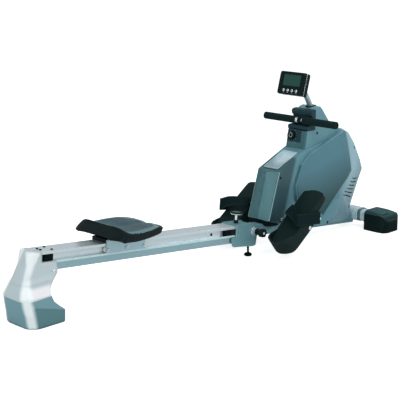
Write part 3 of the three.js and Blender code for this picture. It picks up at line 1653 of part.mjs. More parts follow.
const rim_half_width = flywheel_rim * half_way;
const web_half = flywheel_web * half_way;
const hub_half = flywheel_hub_width * half_way;
const pinion_end = belt_station + pulley_width;
const flywheel_blank = solid(turned([
  [flywheel_bore, -hub_half],
  [flywheel_hub_radius, -hub_half],
  [flywheel_hub_radius, -web_half],
  [flywheel_radius - 28 * mm, -web_half],
  [flywheel_radius - 26 * mm, -rim_half_width],
  [flywheel_radius, -rim_half_width],
  [flywheel_radius, rim_half_width],
  [flywheel_radius - 26 * mm, rim_half_width],
  [flywheel_radius - 28 * mm, web_half],
  [flywheel_hub_radius, web_half],
  [flywheel_hub_radius, hub_half],
  [pinion_radius, hub_half],
  [pinion_radius, pinion_end],
  [flywheel_bore, pinion_end],
  [flywheel_bore, -hub_half],
], 22));
const lightening = [];
for (let i = 0; i < flywheel_holes; i += 1) {
  const angle = (i * full_turn) / flywheel_holes;
  const r = (flywheel_radius - 28 * mm + flywheel_hub_radius) * half_way;
  const drill = rod_y(14 * mm, -overrun, overrun, 10);
  lightening.push(solid(drill.translate(r * Math.cos(angle), 0, r * Math.sin(angle))));
}
place(
  machine,
  'flywheel',
  skin(cut(flywheel_blank, ...lightening)),
  bright_steel(),
  flywheel_x,
  0,
  flywheel_z,
);

const drum_half = drum_width * half_way;
const drum_bore = roller_pin_radius + running_gap;
const strap_drum = turned([
  [drum_bore, -drum_half],
  [drum_flange_radius, -drum_half],
  [drum_flange_radius, drum_flange - drum_half],
  [drum_radius, drum_flange - drum_half],
  [drum_radius, drum_half - drum_flange],
  [drum_flange_radius, drum_half - drum_flange],
  [drum_flange_radius, drum_half],
  [drum_radius * half_way, drum_half],
  [drum_radius * half_way, belt_station - pulley_width * half_way - 1 * mm],
  [pulley_radius, belt_station - pulley_width * half_way - 1 * mm],
  [pulley_radius, belt_station + pulley_width * half_way + 1 * mm],
  [drum_bore, belt_station + pulley_width * half_way + 1 * mm],
  [drum_bore, -drum_half],
], 16);
place(machine, 'strap_drum', strap_drum, nylon_white(), drum_x, 0, drum_z);

function axle(radius, nut) {
  return turned([
    [0, -plate_outer - 8 * mm],
    [nut, -plate_outer - 8 * mm],
    [nut, -plate_outer - gap],
    [radius, -plate_outer - gap],
    [radius, plate_outer + gap],
    [nut, plate_outer + gap],
    [nut, plate_outer + 8 * mm],
    [0, plate_outer + 8 * mm],
  ], 10);
}
place(machine, 'flywheel_axle', axle(axle_radius, 13 * mm), bright_steel(), flywheel_x, 0, flywheel_z);
place(machine, 'drum_axle', axle(roller_pin_radius, 9 * mm), bright_steel(), drum_x, 0, drum_z);

function belt_loop(first, second) {
  const [dx, dz] = [flywheel_x - drum_x, flywheel_z - drum_z];
  const heading = Math.atan2(dz, dx);
  const open = Math.acos((first - second) / Math.hypot(dx, dz));
  const points = [];
  const steps = 14;
  for (let i = 0; i <= steps; i += 1) {
    const angle = heading + open + ((full_turn - 2 * open) * i) / steps;
    points.push([drum_x + first * Math.cos(angle), drum_z + first * Math.sin(angle)]);
  }
  for (let i = 0; i <= steps; i += 1) {
    const angle = heading - open + (2 * open * i) / steps;
    points.push([flywheel_x + second * Math.cos(angle), flywheel_z + second * Math.sin(angle)]);
  }
  return outline(points);
}
const belt = belt_loop(pulley_radius + gap + belt_thickness, pinion_radius + gap + belt_thickness);
belt.holes.push(belt_loop(pulley_radius + gap, pinion_radius + gap));
place(
  machine,
  'drive_belt',
  along_y(belt, belt_station - pulley_width * 0.4, belt_station + pulley_width * 0.4),
  black_rubber(),
);

// Magnet arm: a curved shoe beside the flywheel's rim, pivoted at its lower end

const shoe_in = flywheel_radius + magnet_gap;
const shoe_out = shoe_in + magnet_thickness;
const shoe_half = 12 * mm;
const shoe_points = [];
const shoe_steps = 7;
for (let i = 0; i <= shoe_steps; i += 1) {
  const angle = magnet_angle - (magnet_arc * i) / shoe_steps;
  shoe_points.push([shoe_in * Math.cos(angle), shoe_in * Math.sin(angle)]);
}
for (let i = shoe_steps; i >= 0; i -= 1) {
  const angle = magnet_angle - (magnet_arc * i) / shoe_steps;
  shoe_points.push([shoe_out * Math.cos(angle), shoe_out * Math.sin(angle)]);
}
const shoe = solid(
  along_y(outline(shoe_points), -shoe_half, shoe_half).translate(
    flywheel_x - magnet_x,
    0,
    flywheel_z - magnet_z,
  )
);
const shoe_eye = solid(rod_y(magnet_thickness * 0.8, -shoe_half, shoe_half));
const shoe_bore = solid(rod_y(knuckle_pin_radius + running_gap, -overrun, overrun, 12));
const wheel_room = solid(
  rod_y(
    flywheel_radius + 2 * mm,
    -overrun,
    overrun,
    48,
  ).translate(flywheel_x - magnet_x, 0, flywheel_z - magnet_z)
);
place(
  machine,
  'magnet_arm',
  skin(cut(joined(shoe, shoe_eye), shoe_bore, wheel_room)),
  satin_silver(),
  magnet_x,
  0,
  magnet_z,
);

// Console: a slim case on a bent arm, hinged behind its back face

const console = new THREE.Group();
console.position.set(console_x, 0, console_z);
console.rotation.y = console_tilt;
machine.add(console);
const case_outline = outline(
  box_points(
    -console_width * half_way,
    -console_height * half_way,
    console_width * half_way,
    console_height * half_way,
  ),
  console_corner,
).extractPoints(4).shape.map(({ x, y }) => [x, y]);
const case_points = case_outline.slice(0, -1);
const case_ring = (wall, x) => inset(case_points, wall).map(([y, z]) => [x, y, z]);
const case_body = solid(lofted([
  case_ring(3 * mm, -case_half),
  case_ring(0, 3 * mm - case_half),
  case_ring(0, case_half - 4 * mm),
  case_ring(4 * mm, case_half),
]));
const screen_y = screen_width * half_way;
const screen_z = screen_height * half_way;
const recess = solid(
  along_x(
    outline(
      box_points(
        -screen_y - gap,
        screen_rise - screen_z - gap,
        screen_y + gap,
        screen_rise + screen_z + gap,
      ),
      2 * mm,
    ),
    -case_half - overrun,
    -case_half + screen_recess + screen_depth,
    2,
  )
);
const ear_shape = outline([
  [case_half - 4 * mm, hinge_up - ear_radius - 3 * mm], [hinge_in + ear_radius, hinge_up - ear_radius],
  [hinge_in + ear_radius, hinge_up + ear_radius], [case_half - 4 * mm, hinge_up + ear_radius + 3 * mm],
], [0, ear_radius, ear_radius, 0]);
const ears = [knuckle_half + gap, -knuckle_half - gap - ear_thickness].map(
  (y) => solid(along_y(ear_shape, y, y + ear_thickness, 4))
);
const ear_pin = solid(
  rod_y(
    knuckle_pin_radius,
    -knuckle_half - gap - ear_thickness,
    knuckle_half + gap + ear_thickness,
    12,
  ).translate(hinge_in, 0, hinge_up)
);
const button_cuts = [];
const button_places = [];
for (let i = 0; i < button_count; i += 1) {
  const y = button_pitch * (i - (button_count - 1) * half_way);
  button_places.push(y);
  const bore = on_x(
    rod_y(button_radius + button_gap, -case_half - overrun, -case_half + button_depth + 2 * mm)
  );
  button_cuts.push(solid(bore.translate(0, y, -button_drop)));
}
const case_cut = cut(joined(case_body, ...ears, ear_pin), recess, ...button_cuts);
place(console, 'console_case', skin(case_cut), black_plastic());
const screen = along_x(
  outline(box_points(-screen_y, -screen_z, screen_y, screen_z), 2 * mm),
  0,
  screen_depth - gap,
  2,
);
place(console, 'console_screen', screen, finish(0x8b9a8c, 0.15), screen_recess - case_half, 0, screen_rise);
button_places.forEach((y, i) => {
  const button = on_x(turned([
    [0, -button_proud],
    [button_radius - 1.5 * mm, -button_proud],
    [button_radius, 1 * mm - button_proud],
    [button_radius, button_depth - button_proud],
    [0, button_depth - button_proud],
  ], 14));
  place(console, `button_${i + 1}`, button, finish(0x9aa7ab, 0.5), -case_half, y, -button_drop);
});

// Console arm: a bent tube from the post's top up to the console's hinge

const arm_foot_point = new THREE.Vector3(post_x, 0, post_top_z + gap + 2 * mm);
const arm_end = knuckle_point.clone().addScaledVector(arm_toward, -arm_stop);
const arm_low_end = arm_exit.clone().lerp(arm_knee, -0.26);
const arm_low_bend = arm_exit.clone().lerp(arm_knee, -0.42);
const arm_path = new THREE.CurvePath();
const arm_bend_in = arm_knee.clone().lerp(arm_exit, 0.3);
const arm_bend_out = arm_knee.clone().lerp(arm_end, 0.4);
arm_path.add(new THREE.QuadraticBezierCurve3(arm_foot_point, arm_low_bend, arm_low_end));
arm_path.add(new THREE.LineCurve3(arm_low_end, arm_bend_in));
arm_path.add(new THREE.QuadraticBezierCurve3(arm_bend_in, arm_knee, arm_bend_out));
arm_path.add(new THREE.LineCurve3(arm_bend_out, arm_end));
const arm_ring = (along, heading) => {
  const ring = [];
  for (let i = 0; i < 2 * lathe_steps; i += 2) {
    const angle = (i * Math.PI) / lathe_steps;
    const side = arm_radius * Math.cos(angle);
    const up = arm_radius * Math.sin(angle);
    ring.push([along.x - up * heading.z, side, along.z + up * heading.x]);
  }
  return ring;
};
const arm_rings = [];
const arm_steps = 16;
for (let i = 0; i <= arm_steps; i += 1) {
  arm_rings.push(arm_ring(arm_path.getPointAt(i / arm_steps), arm_path.getTangentAt(i / arm_steps)));
}
const arm_tube = lofted(arm_rings);
const neck_shape = outline(box_points(-arm_stop - 3 * mm, -knuckle_radius * 0.8, 0, knuckle_radius * 0.8));
const neck = along_y(neck_shape, -knuckle_half, knuckle_half)
  .rotateY(-neck_heading).translate(knuckle_x, 0, knuckle_z);
const knuckle = rod_y(knuckle_radius, -knuckle_half, knuckle_half, 14).translate(knuckle_x, 0, knuckle_z);
const knuckle_bore = rod_y(
  knuckle_pin_radius + running_gap,
  -overrun,
  overrun,
  12,
).translate(knuckle_x, 0, knuckle_z);
const arm_flange = along_z(
  outline(box_points(post_x0, -post_half, post_x1, post_half), post_corner),
  post_top_z + gap,
  post_top_z + gap + 4 * mm,
  2,
);
const arm_body = cut(
  joined(solid(arm_tube), solid(neck), solid(knuckle), solid(arm_flange)),
  solid(knuckle_bore),
);
place(machine, 'console_arm', skin(arm_body), satin_silver());

// Grommet round the arm where it leaves the tower

const grommet = on_x(
  ring_y(arm_radius + gap, grommet_radius, -grommet_length * half_way, grommet_length * half_way)
);
place(machine, 'arm_grommet', grommet.rotateY(-arm_lean), black_rubber(), arm_exit.x, 0, arm_exit.z);

// Pedal axle and footplates

const pedal_outer = pedal_inner + pedal_width;
const pedal_axle = turned([
  [0, -pedal_outer - pedal_nut_length],
  [pedal_nut_radius, -pedal_outer - pedal_nut_length],
  [pedal_nut_radius, -pedal_outer - gap],
  [pedal_axle_radius, -pedal_outer - gap],
  [pedal_axle_radius, -pedal_inner + gap],
  [pedal_spacer_radius, -pedal_inner + gap],
  [pedal_spacer_radius, -shroud_half - 3 * mm],
  [pedal_axle_radius, -shroud_half - 3 * mm],
  [pedal_axle_radius, shroud_half + 3 * mm],
  [pedal_spacer_radius, shroud_half + 3 * mm],
  [pedal_spacer_radius, pedal_inner - gap],
  [pedal_axle_radius, pedal_inner - gap],
  [pedal_axle_radius, pedal_outer + far_reach + gap],
  [pedal_nut_radius, pedal_outer + far_reach + gap],
  [pedal_nut_radius, pedal_outer + far_reach + pedal_nut_length],
  [0, pedal_outer + far_reach + pedal_nut_length],
], 14);
place(machine, 'pedal_axle', pedal_axle, bright_steel(), pedal_x, 0, pedal_z);

const toe = pedal_length - pedal_back;
function footplate(slide, reach_out, lift) {
  const plan = outline([
    [-pedal_back + 18 * mm, pedal_inner], [toe - 14 * mm, pedal_inner], [
      toe + 6 * mm,
      (pedal_inner + pedal_outer) * half_way,
    ],
    [toe - 6 * mm, pedal_outer], [-pedal_back + 22 * mm, pedal_outer],
    [-pedal_back - 8 * mm, (pedal_inner + pedal_outer) * half_way],
  ], sized([24, 10, 60, 16, 40, 60]));
  const low = -pedal_axle_radius - 6 * mm;
  const side_shape = outline([
    [
      -pedal_back - 20 * mm,
      pedal_offset - 46 * mm,
    ], [-pedal_back + 30 * mm, low + 4 * mm], [-14 * mm, low], [14 * mm, low],
    [
      pedal_back * half_way,
      pedal_offset - 38 * mm,
    ], [toe + 20 * mm, pedal_offset - 26 * mm], [toe + 20 * mm, pedal_offset],
    [-pedal_back - 20 * mm, pedal_offset],
  ], sized([10, 30, 14, 14, 20, 0, 0, 0]));
  const side_block = solid(along_y(side_shape, 0, 2 * pedal_outer, 5));
  const block = solid(along_z(plan, -pedal_back, pedal_offset, 6)).intersect(side_block);
  const inner_plan = outline([
    [-pedal_back + 24 * mm, pedal_inner + pedal_rib], [toe - 20 * mm, pedal_inner + pedal_rib],
    [toe - 2 * mm, (pedal_inner + pedal_outer) * half_way], [toe - 14 * mm, pedal_outer - pedal_rib],
    [-pedal_back + 28 * mm, pedal_outer - pedal_rib], [-pedal_back, (pedal_inner + pedal_outer) * half_way],
  ], sized([20, 6, 50, 12, 34, 50]));
  const well = solid(along_z(inner_plan, -pedal_back, pedal_offset - pedal_thickness, 4));
  const boss = solid(rod_y(pedal_boss_radius, pedal_inner, pedal_outer + reach_out, 14));
  const cup_plan = outline([
    [
      -pedal_back + 26 * mm,
      pedal_inner + heel_wall,
    ], [0, pedal_inner + heel_wall], [0, pedal_outer - heel_wall],
    [-pedal_back + 30 * mm, pedal_outer - heel_wall], [-pedal_back, (pedal_inner + pedal_outer) * half_way],
  ], sized([20, 0, 0, 32, 50]));
  const cup_side = solid(along_y(outline([
    [-pedal_back - 20 * mm, pedal_offset - 1 * mm], [-pedal_back + 90 * mm, pedal_offset - 1 * mm],
    [-pedal_back + 40 * mm, pedal_offset + heel_height], [-pedal_back - 20 * mm, pedal_offset + heel_height],
  ], sized([0, 0, 30, 0])), 0, 2 * pedal_outer, 5));
  const cup_room = solid(along_z(cup_plan, pedal_offset, 2 * pedal_back, 4));
  const cup = cut(solid(along_z(plan, 0, 2 * pedal_back, 6)).intersect(cup_side), cup_room);
  const bore = solid(rod_y(pedal_axle_radius + running_gap, 0, 2 * pedal_outer));
  const moved = joined(cut(block, well), cup).translate([-slide, reach_out, lift]);
  return cut(joined(moved, boss), bore);
}

// Foot strap: a flat band from the inner side wall, over the foot's place and down the outer side.
// Each row is a place of its toe edge and of its heel edge: along the plate, outwards, above the axle.
const strap_in = pedal_inner - gap - foot_strap_thickness * half_way;
const strap_out = pedal_outer + gap + foot_strap_thickness * half_way;
const strap_toe = foot_strap_station + foot_strap_width * half_way;
const strap_heel = foot_strap_station - foot_strap_width * half_way;
const strap_rise_share = 0.616; // the hanging band stands upright in the world
const strap_lean_share = 0.788;
// A row of the hanging band: its middle along the plate, outwards and above the plate's top.
const hanging = (along, outward, above) => {
  const reach_along = foot_strap_width * half_way * strap_rise_share;
  const reach_up = foot_strap_width * half_way * strap_lean_share;
  return [
    [along + reach_along, outward, pedal_offset + above + reach_up],
    [along - reach_along, outward, pedal_offset + above - reach_up],
  ];
};
const strap_edges = [
  [[strap_toe, strap_in, pedal_offset - 26 * mm], [strap_heel, strap_in, pedal_offset - 26 * mm]],
  [[strap_toe, strap_in, pedal_offset + 3 * mm], [strap_heel, strap_in, pedal_offset + 8 * mm]],
  [[strap_toe - 2 * mm, strap_in + 6 * mm, pedal_offset + 14 * mm],
    [strap_heel - 2 * mm, strap_in + 7 * mm, pedal_offset + 24 * mm]],
  [[strap_toe - 12 * mm, strap_in + 23 * mm, pedal_offset + 29 * mm],
    [strap_heel - 14 * mm, strap_in + 23 * mm, pedal_offset + 34 * mm]],
  [[30 * mm, 158 * mm, pedal_offset + 47 * mm], [-26 * mm, 158 * mm, pedal_offset + 39 * mm]],
  [[6 * mm, 192 * mm, pedal_offset + 64 * mm], [-44 * mm, 193 * mm, pedal_offset + 36 * mm]],
  hanging(-39 * mm, 215 * mm, 50 * mm),
  hanging(-37 * mm, strap_out + 4 * mm, 44 * mm),
  hanging(0, strap_out + 4 * mm, 9 * mm),
  hanging(38 * mm, strap_out + 4 * mm, -28 * mm),
  hanging(78 * mm, strap_out, -68 * mm),
];
function foot_strap() {
  const middles = strap_edges.map(([a, b]) => new THREE.Vector3(...a).add(new THREE.Vector3(...b)));
  return lofted(strap_edges.map(([a, b], i) => {
    const toe_edge = new THREE.Vector3(...a);
    const heel_edge = new THREE.Vector3(...b);
    const before = middles[Math.max(0, i - 1)];
    const after = middles[Math.min(middles.length - 1 * mm, i + 1)];
    const across = toe_edge.clone().sub(heel_edge);
    const normal = after.clone().sub(before).cross(across).setLength(foot_strap_thickness * half_way);
    const corner = (at, sign) => at.clone().addScaledVector(normal, sign).toArray();
    return [corner(toe_edge, 1), corner(toe_edge, -1), corner(heel_edge, -1), corner(heel_edge, 1)];
  }));
}
const strap_band = solid(foot_strap());
for (const [side, sign] of sides) {
  const pedal = new THREE.Group();
  pedal.position.set(pedal_x, 0, pedal_z);
  pedal.rotation.y = -(sign > 0 ? pedal_slope - pedal_turn : pedal_slope);
  machine.add(pedal);
  const shift = sign > 0 ? [far_slide, far_reach, far_lift] : [0, 0, 0];
  const plate = skin(footplate(...shift));
  const band = skin(strap_band.translate([-shift[0], shift[1], shift[2]]));
  place(pedal, `footplate_${side}`, sign > 0 ? plate : mirrored(plate), black_plastic());
  place(pedal, `foot_strap_${side}`, sign > 0 ? band : mirrored(band), webbing());
}

export default machine;
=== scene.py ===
import math

import bmesh
import bpy
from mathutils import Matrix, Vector, noise
from mathutils.bvhtree import BVHTree


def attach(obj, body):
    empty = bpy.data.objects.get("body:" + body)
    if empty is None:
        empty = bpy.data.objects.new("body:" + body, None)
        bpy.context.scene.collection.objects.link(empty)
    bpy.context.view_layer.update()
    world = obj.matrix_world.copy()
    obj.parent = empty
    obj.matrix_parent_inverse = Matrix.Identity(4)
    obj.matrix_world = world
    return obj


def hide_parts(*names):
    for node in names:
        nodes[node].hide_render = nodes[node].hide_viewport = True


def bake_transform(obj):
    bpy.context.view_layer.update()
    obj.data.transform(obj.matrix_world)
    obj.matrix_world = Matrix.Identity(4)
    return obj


MM = 0.001
SIDES = ((-1, "near"), (1, "far"))
DOWN = Vector((0, 0, -1))
ACROSS = Vector((0, 1, 0))

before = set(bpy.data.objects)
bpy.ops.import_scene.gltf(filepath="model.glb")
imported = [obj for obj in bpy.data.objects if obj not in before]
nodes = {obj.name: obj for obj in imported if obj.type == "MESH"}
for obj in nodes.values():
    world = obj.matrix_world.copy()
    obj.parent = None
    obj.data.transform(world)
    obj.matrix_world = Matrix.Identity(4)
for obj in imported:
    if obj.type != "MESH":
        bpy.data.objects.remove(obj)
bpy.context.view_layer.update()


# Camera, light and floor

PHOTO_SIZE = 400
LENS = 96.1
SENSOR = 36
VIEW_END = 60
CAMERA_PLACE = (-3.2873, -3.1612, 1.4212)
CAMERA_AIM = (-0.0976, 0.0, 0.3177)
MIDDLE = (0.0, 0.0, 0.3)
LAMPS = (
    # name, place, aim, power, width and height
    ("key", (-1.2, -3.6, 3.4), MIDDLE, 62, (2.4, 1.6)),
    ("fill", (-4.2, 0.4, 1.8), MIDDLE, 30, (2.2, 1.8)),
    ("top", (0.4, 0.6, 4.2), MIDDLE, 46, (3.4, 2.2)),
    ("side", (3.6, -2.6, 1.6), (0.5, 0.0, 0.3), 34, (1.8, 1.8)),
    ("corner", (-3.9, -3.3, 2.1), (-0.4, 0.0, 0.3), 16, (0.7, 1.2)),
)
SKY = (0.86, 0.93, 0.95, 1)
SKY_STRENGTH = 0.42
WHITE = (1, 1, 1, 1)
WHITE_MIRRORED = 0.35
FLOOR_TONE = (0.9, 0.9, 0.9, 1)
FLOOR_GLOW = 0.72
FLOOR_REACH = 30

scene = bpy.context.scene
scene.view_settings.view_transform = "Standard"


def aimed(name, data, place, aim):
    obj = bpy.data.objects.new(name, data)
    scene.collection.objects.link(obj)
    obj.location = place
    obj.rotation_euler = (Vector(aim) - Vector(place)).to_track_quat("-Z", "Y").to_euler()
    return obj


camera_data = bpy.data.cameras.new("camera")
camera_data.lens = LENS
camera_data.sensor_width = SENSOR
camera_data.clip_end = VIEW_END
camera = aimed("camera", camera_data, CAMERA_PLACE, CAMERA_AIM)
scene.camera = camera

for lamp_name, lamp_place, lamp_aim, power, (wide, high) in LAMPS:
    lamp = bpy.data.lights.new(lamp_name, "AREA")
    lamp.energy = power
    lamp.shape = "RECTANGLE"
    lamp.size = wide
    lamp.size_y = high
    aimed(lamp_name, lamp, lamp_place, lamp_aim)


def node_maker(owner):
    """Clears the owner's nodes and returns a function that adds one. An input that is another node's socket
    is linked, and any other input is set."""
    owner.use_nodes = True
    tree = owner.node_tree
    tree.nodes.clear()

    def add(kind, inputs=None, operation=None, data_type=None):
        made = tree.nodes.new("ShaderNode" + kind)
        if operation:
            made.operation = operation
        if data_type:
            made.data_type = data_type
        for key, value in (inputs or {}).items():
            if isinstance(value, bpy.types.NodeSocket):
                tree.links.new(value, made.inputs[key])
            else:
                made.inputs[key].default_value = value
        return made

    return add


def light_world():
    """Soft light from all round, behind a plain white background."""
    world = bpy.data.worlds.new("world")
    scene.world = world
    add = node_maker(world)
    rays = add("LightPath").outputs
    gleam = add("Math", {0: rays["Is Glossy Ray"], 1: WHITE_MIRRORED}, operation="MULTIPLY")
    direct = add("Math", {0: rays["Is Camera Ray"], 1: gleam.outputs[0]}, operation="MAXIMUM")
    seen = add("Math", {0: direct.outputs[0], 1: rays["Is Transmission Ray"]}, operation="MAXIMUM")
    soft = add("Background", {"Color": SKY, "Strength": SKY_STRENGTH})
    white = add("Background", {"Color": WHITE, "Strength": 1.0})
    mixed = add("MixShader", {0: seen.outputs[0], 1: soft.outputs[0], 2: white.outputs[0]})
    add("OutputWorld", {"Surface": mixed.outputs[0]})


def floor_material():
    mat = bpy.data.materials.new("floor_pale")
    add = node_maker(mat)
    diffuse = add("BsdfDiffuse", {"Color": FLOOR_TONE})
    glow = add("Emission", {"Strength": FLOOR_GLOW})
    both = add("AddShader", {0: diffuse.outputs[0], 1: glow.outputs[0]})
    rays = add("LightPath").outputs
    pick = add("MixShader", {0: rays["Is Camera Ray"], 1: diffuse.outputs[0], 2: both.outputs[0]})
    add("OutputMaterial", {"Surface": pick.outputs[0]})
    return mat


def mesh_object(name, verts, faces):
    mesh = bpy.data.meshes.new(name)
    mesh.from_pydata([tuple(v) for v in verts], [], faces)
    mesh.update()
    obj = bpy.data.objects.new(name, mesh)
    scene.collection.objects.link(obj)
    return obj


light_world()
floor_corners = [(x * FLOOR_REACH, y * FLOOR_REACH, 0) for x, y in ((-1, -1), (1, -1), (1, 1), (-1, 1))]
floor = mesh_object("floor", floor_corners, [(0, 1, 2, 3)])
floor.data.materials.append(floor_material())


# Materials

COAT_ROUGHNESS = 0.25
LEAST_ROUGHNESS = 0.04
GRAIN_DEPTH = 0.0006
WEAVE_DEPTH = 0.0007
WEAVE_RIBS = 95
WEAVE_CROSS = 150
STITCH_WIDTH = 0.0006
STITCH_TURNS = 1500
STITCH_GAP = -0.35
STITCH_RAISE = 0.8
SPECK_SCALE = 900
SPECK_SIZE = 0.16
WORN_FROM = 0.52
WORN_TO = 0.62
PATCH_SCALE = 60
GLOSS_SCALE = 26
WIDE_EDGE = 0.01
LINEAR_FOOT = 10


def linear(rgb):
    return tuple(c / 255 / 12.92 if c <= LINEAR_FOOT else ((c / 255 + 0.055) / 1.055) ** 2.4
                 for c in rgb) + (1,)


def surface(name, rgb, rough, metal=0.0, *, grain=0.0, grain_scale=400.0, vary=0.06, vary_scale=9.0,
            wear=0.0, brushed=None, weave=0.0, edge=0.0012, coat=0.0, facings=(), shades=(), crest=(),
            sheen=0.0, speck=0.0, smudge=0.08, stitched=0.0, shine=0.5):
    """A procedural material: base colour with broad variation, worn edges, grain or weave in the bump,
    uneven gloss, and edges softened by a small radius. Shades, facings and crest are painted light and
    shade. Each of shades is a colour, a direction and the two distances along it, in metres, between which
    the colour takes over. Facings do the same by the way that a face looks, and crest does so over the
    shades."""
    mat = bpy.data.materials.new(name)
    add = node_maker(mat)
    base = linear(rgb)
    place = add("TexCoord").outputs
    where = place["Object"]

    def lit(gain, lift=0.0):
        return tuple(min(1, c * gain + lift) for c in base[:3]) + (1,)

    def mixed(factor, first, second):
        return add("Mix", {"Factor": factor, "A": first, "B": second}, data_type="RGBA").outputs["Result"]

    def maths(operation, *values):
        return add("Math", dict(enumerate(values)), operation=operation).outputs[0]

    def spread(value, start, end, low=0.0, high=1.0):
        return add("MapRange", {"Value": value, "From Min": start, "From Max": end, "To Min": low,
                                "To Max": high}).outputs[0]

    def cloud(scale, detail, vector=where):
        return add("TexNoise", {"Vector": vector, "Scale": scale, "Detail": detail}).outputs["Fac"]

    def bumped(height, strength, depth, normal):
        return add("Bump", {"Height": height, "Strength": strength, "Distance": depth,
                            "Normal": normal}).outputs[0]

    colour = mixed(cloud(vary_scale, 4), lit(1 - vary), lit(1 + vary))
    # Painted light and shade: each row lays a lit or shaded colour over the base, by place or by the way a
    # face looks.
    layers = [(place["Normal"], *row) for row in facings] + [(where, *row) for row in shades]
    layers += [(place["Normal"], *row) for row in crest]
    for source, shade, direction, start, end in layers:
        along = add("VectorMath", {0: source, 1: direction}, operation="DOT_PRODUCT").outputs["Value"]
        colour = mixed(spread(along, start, end), colour, linear(shade))
    if speck:
        dots = add("TexVoronoi", {"Vector": where, "Scale": SPECK_SCALE}).outputs["Distance"]
        few = maths("LESS_THAN", dots, SPECK_SIZE)
        colour = mixed(maths("MULTIPLY", few, speck), colour, lit(1.9, 0.03))
    if wear:
        sharp = spread(add("NewGeometry").outputs["Pointiness"], WORN_FROM, WORN_TO)
        patches = maths("MULTIPLY", sharp, cloud(PATCH_SCALE, 6))
        colour = mixed(maths("MULTIPLY", patches, wear), colour, lit(1.6, 0.04))

    softened = add("Bevel", {"Radius": edge})
    softened.samples = 12 if edge > WIDE_EDGE else 6
    normal = softened.outputs[0]
    if grain:
        vector = where
        if brushed:
            vector = add("Mapping", {"Vector": where, "Scale": brushed}).outputs[0]
        normal = bumped(cloud(grain_scale, 6, vector), grain, GRAIN_DEPTH, normal)
    if weave:
        ribs = add("TexWave", {"Vector": place["UV"], "Scale": WEAVE_RIBS, "Distortion": 0.6})
        ribs.bands_direction = "X"
        cross = add("TexWave", {"Vector": place["UV"], "Scale": WEAVE_CROSS})
        cross.bands_direction = "Y"
        knots = maths("MULTIPLY", ribs.outputs["Fac"], cross.outputs["Fac"])
        normal = bumped(knots, weave, WEAVE_DEPTH, normal)
    if stitched:
        parts = add("SeparateXYZ", {0: place["UV"]}).outputs
        row = maths("COMPARE", parts["Y"], stitched, STITCH_WIDTH)
        beat = maths("SINE", maths("MULTIPLY", parts["X"], STITCH_TURNS))
        thread = maths("MULTIPLY", row, maths("GREATER_THAN", beat, STITCH_GAP))
        colour = mixed(thread, colour, lit(3, 0.02))
        normal = bumped(thread, STITCH_RAISE, GRAIN_DEPTH, normal)

    gloss = spread(cloud(GLOSS_SCALE, 5), 0, 1, max(LEAST_ROUGHNESS, rough - smudge), min(1, rough + smudge))
    shader = add("BsdfPrincipled", {
        "Base Color": colour, "Metallic": metal, "Roughness": gloss, "Normal": normal,
        "Specular IOR Level": shine, "Coat Weight": coat, "Coat Roughness": COAT_ROUGHNESS,
        "Sheen Weight": sheen,
    })
    add("OutputMaterial", {"Surface": shader.outputs[0]})
    return mat


def both_sides(tone, direction, start, end):
    """A row of shades and its mirror image on the far side."""
    x, y, z = direction
    return (tone, (x, y, z), start, end), (tone, (x, -y, z), start, end)


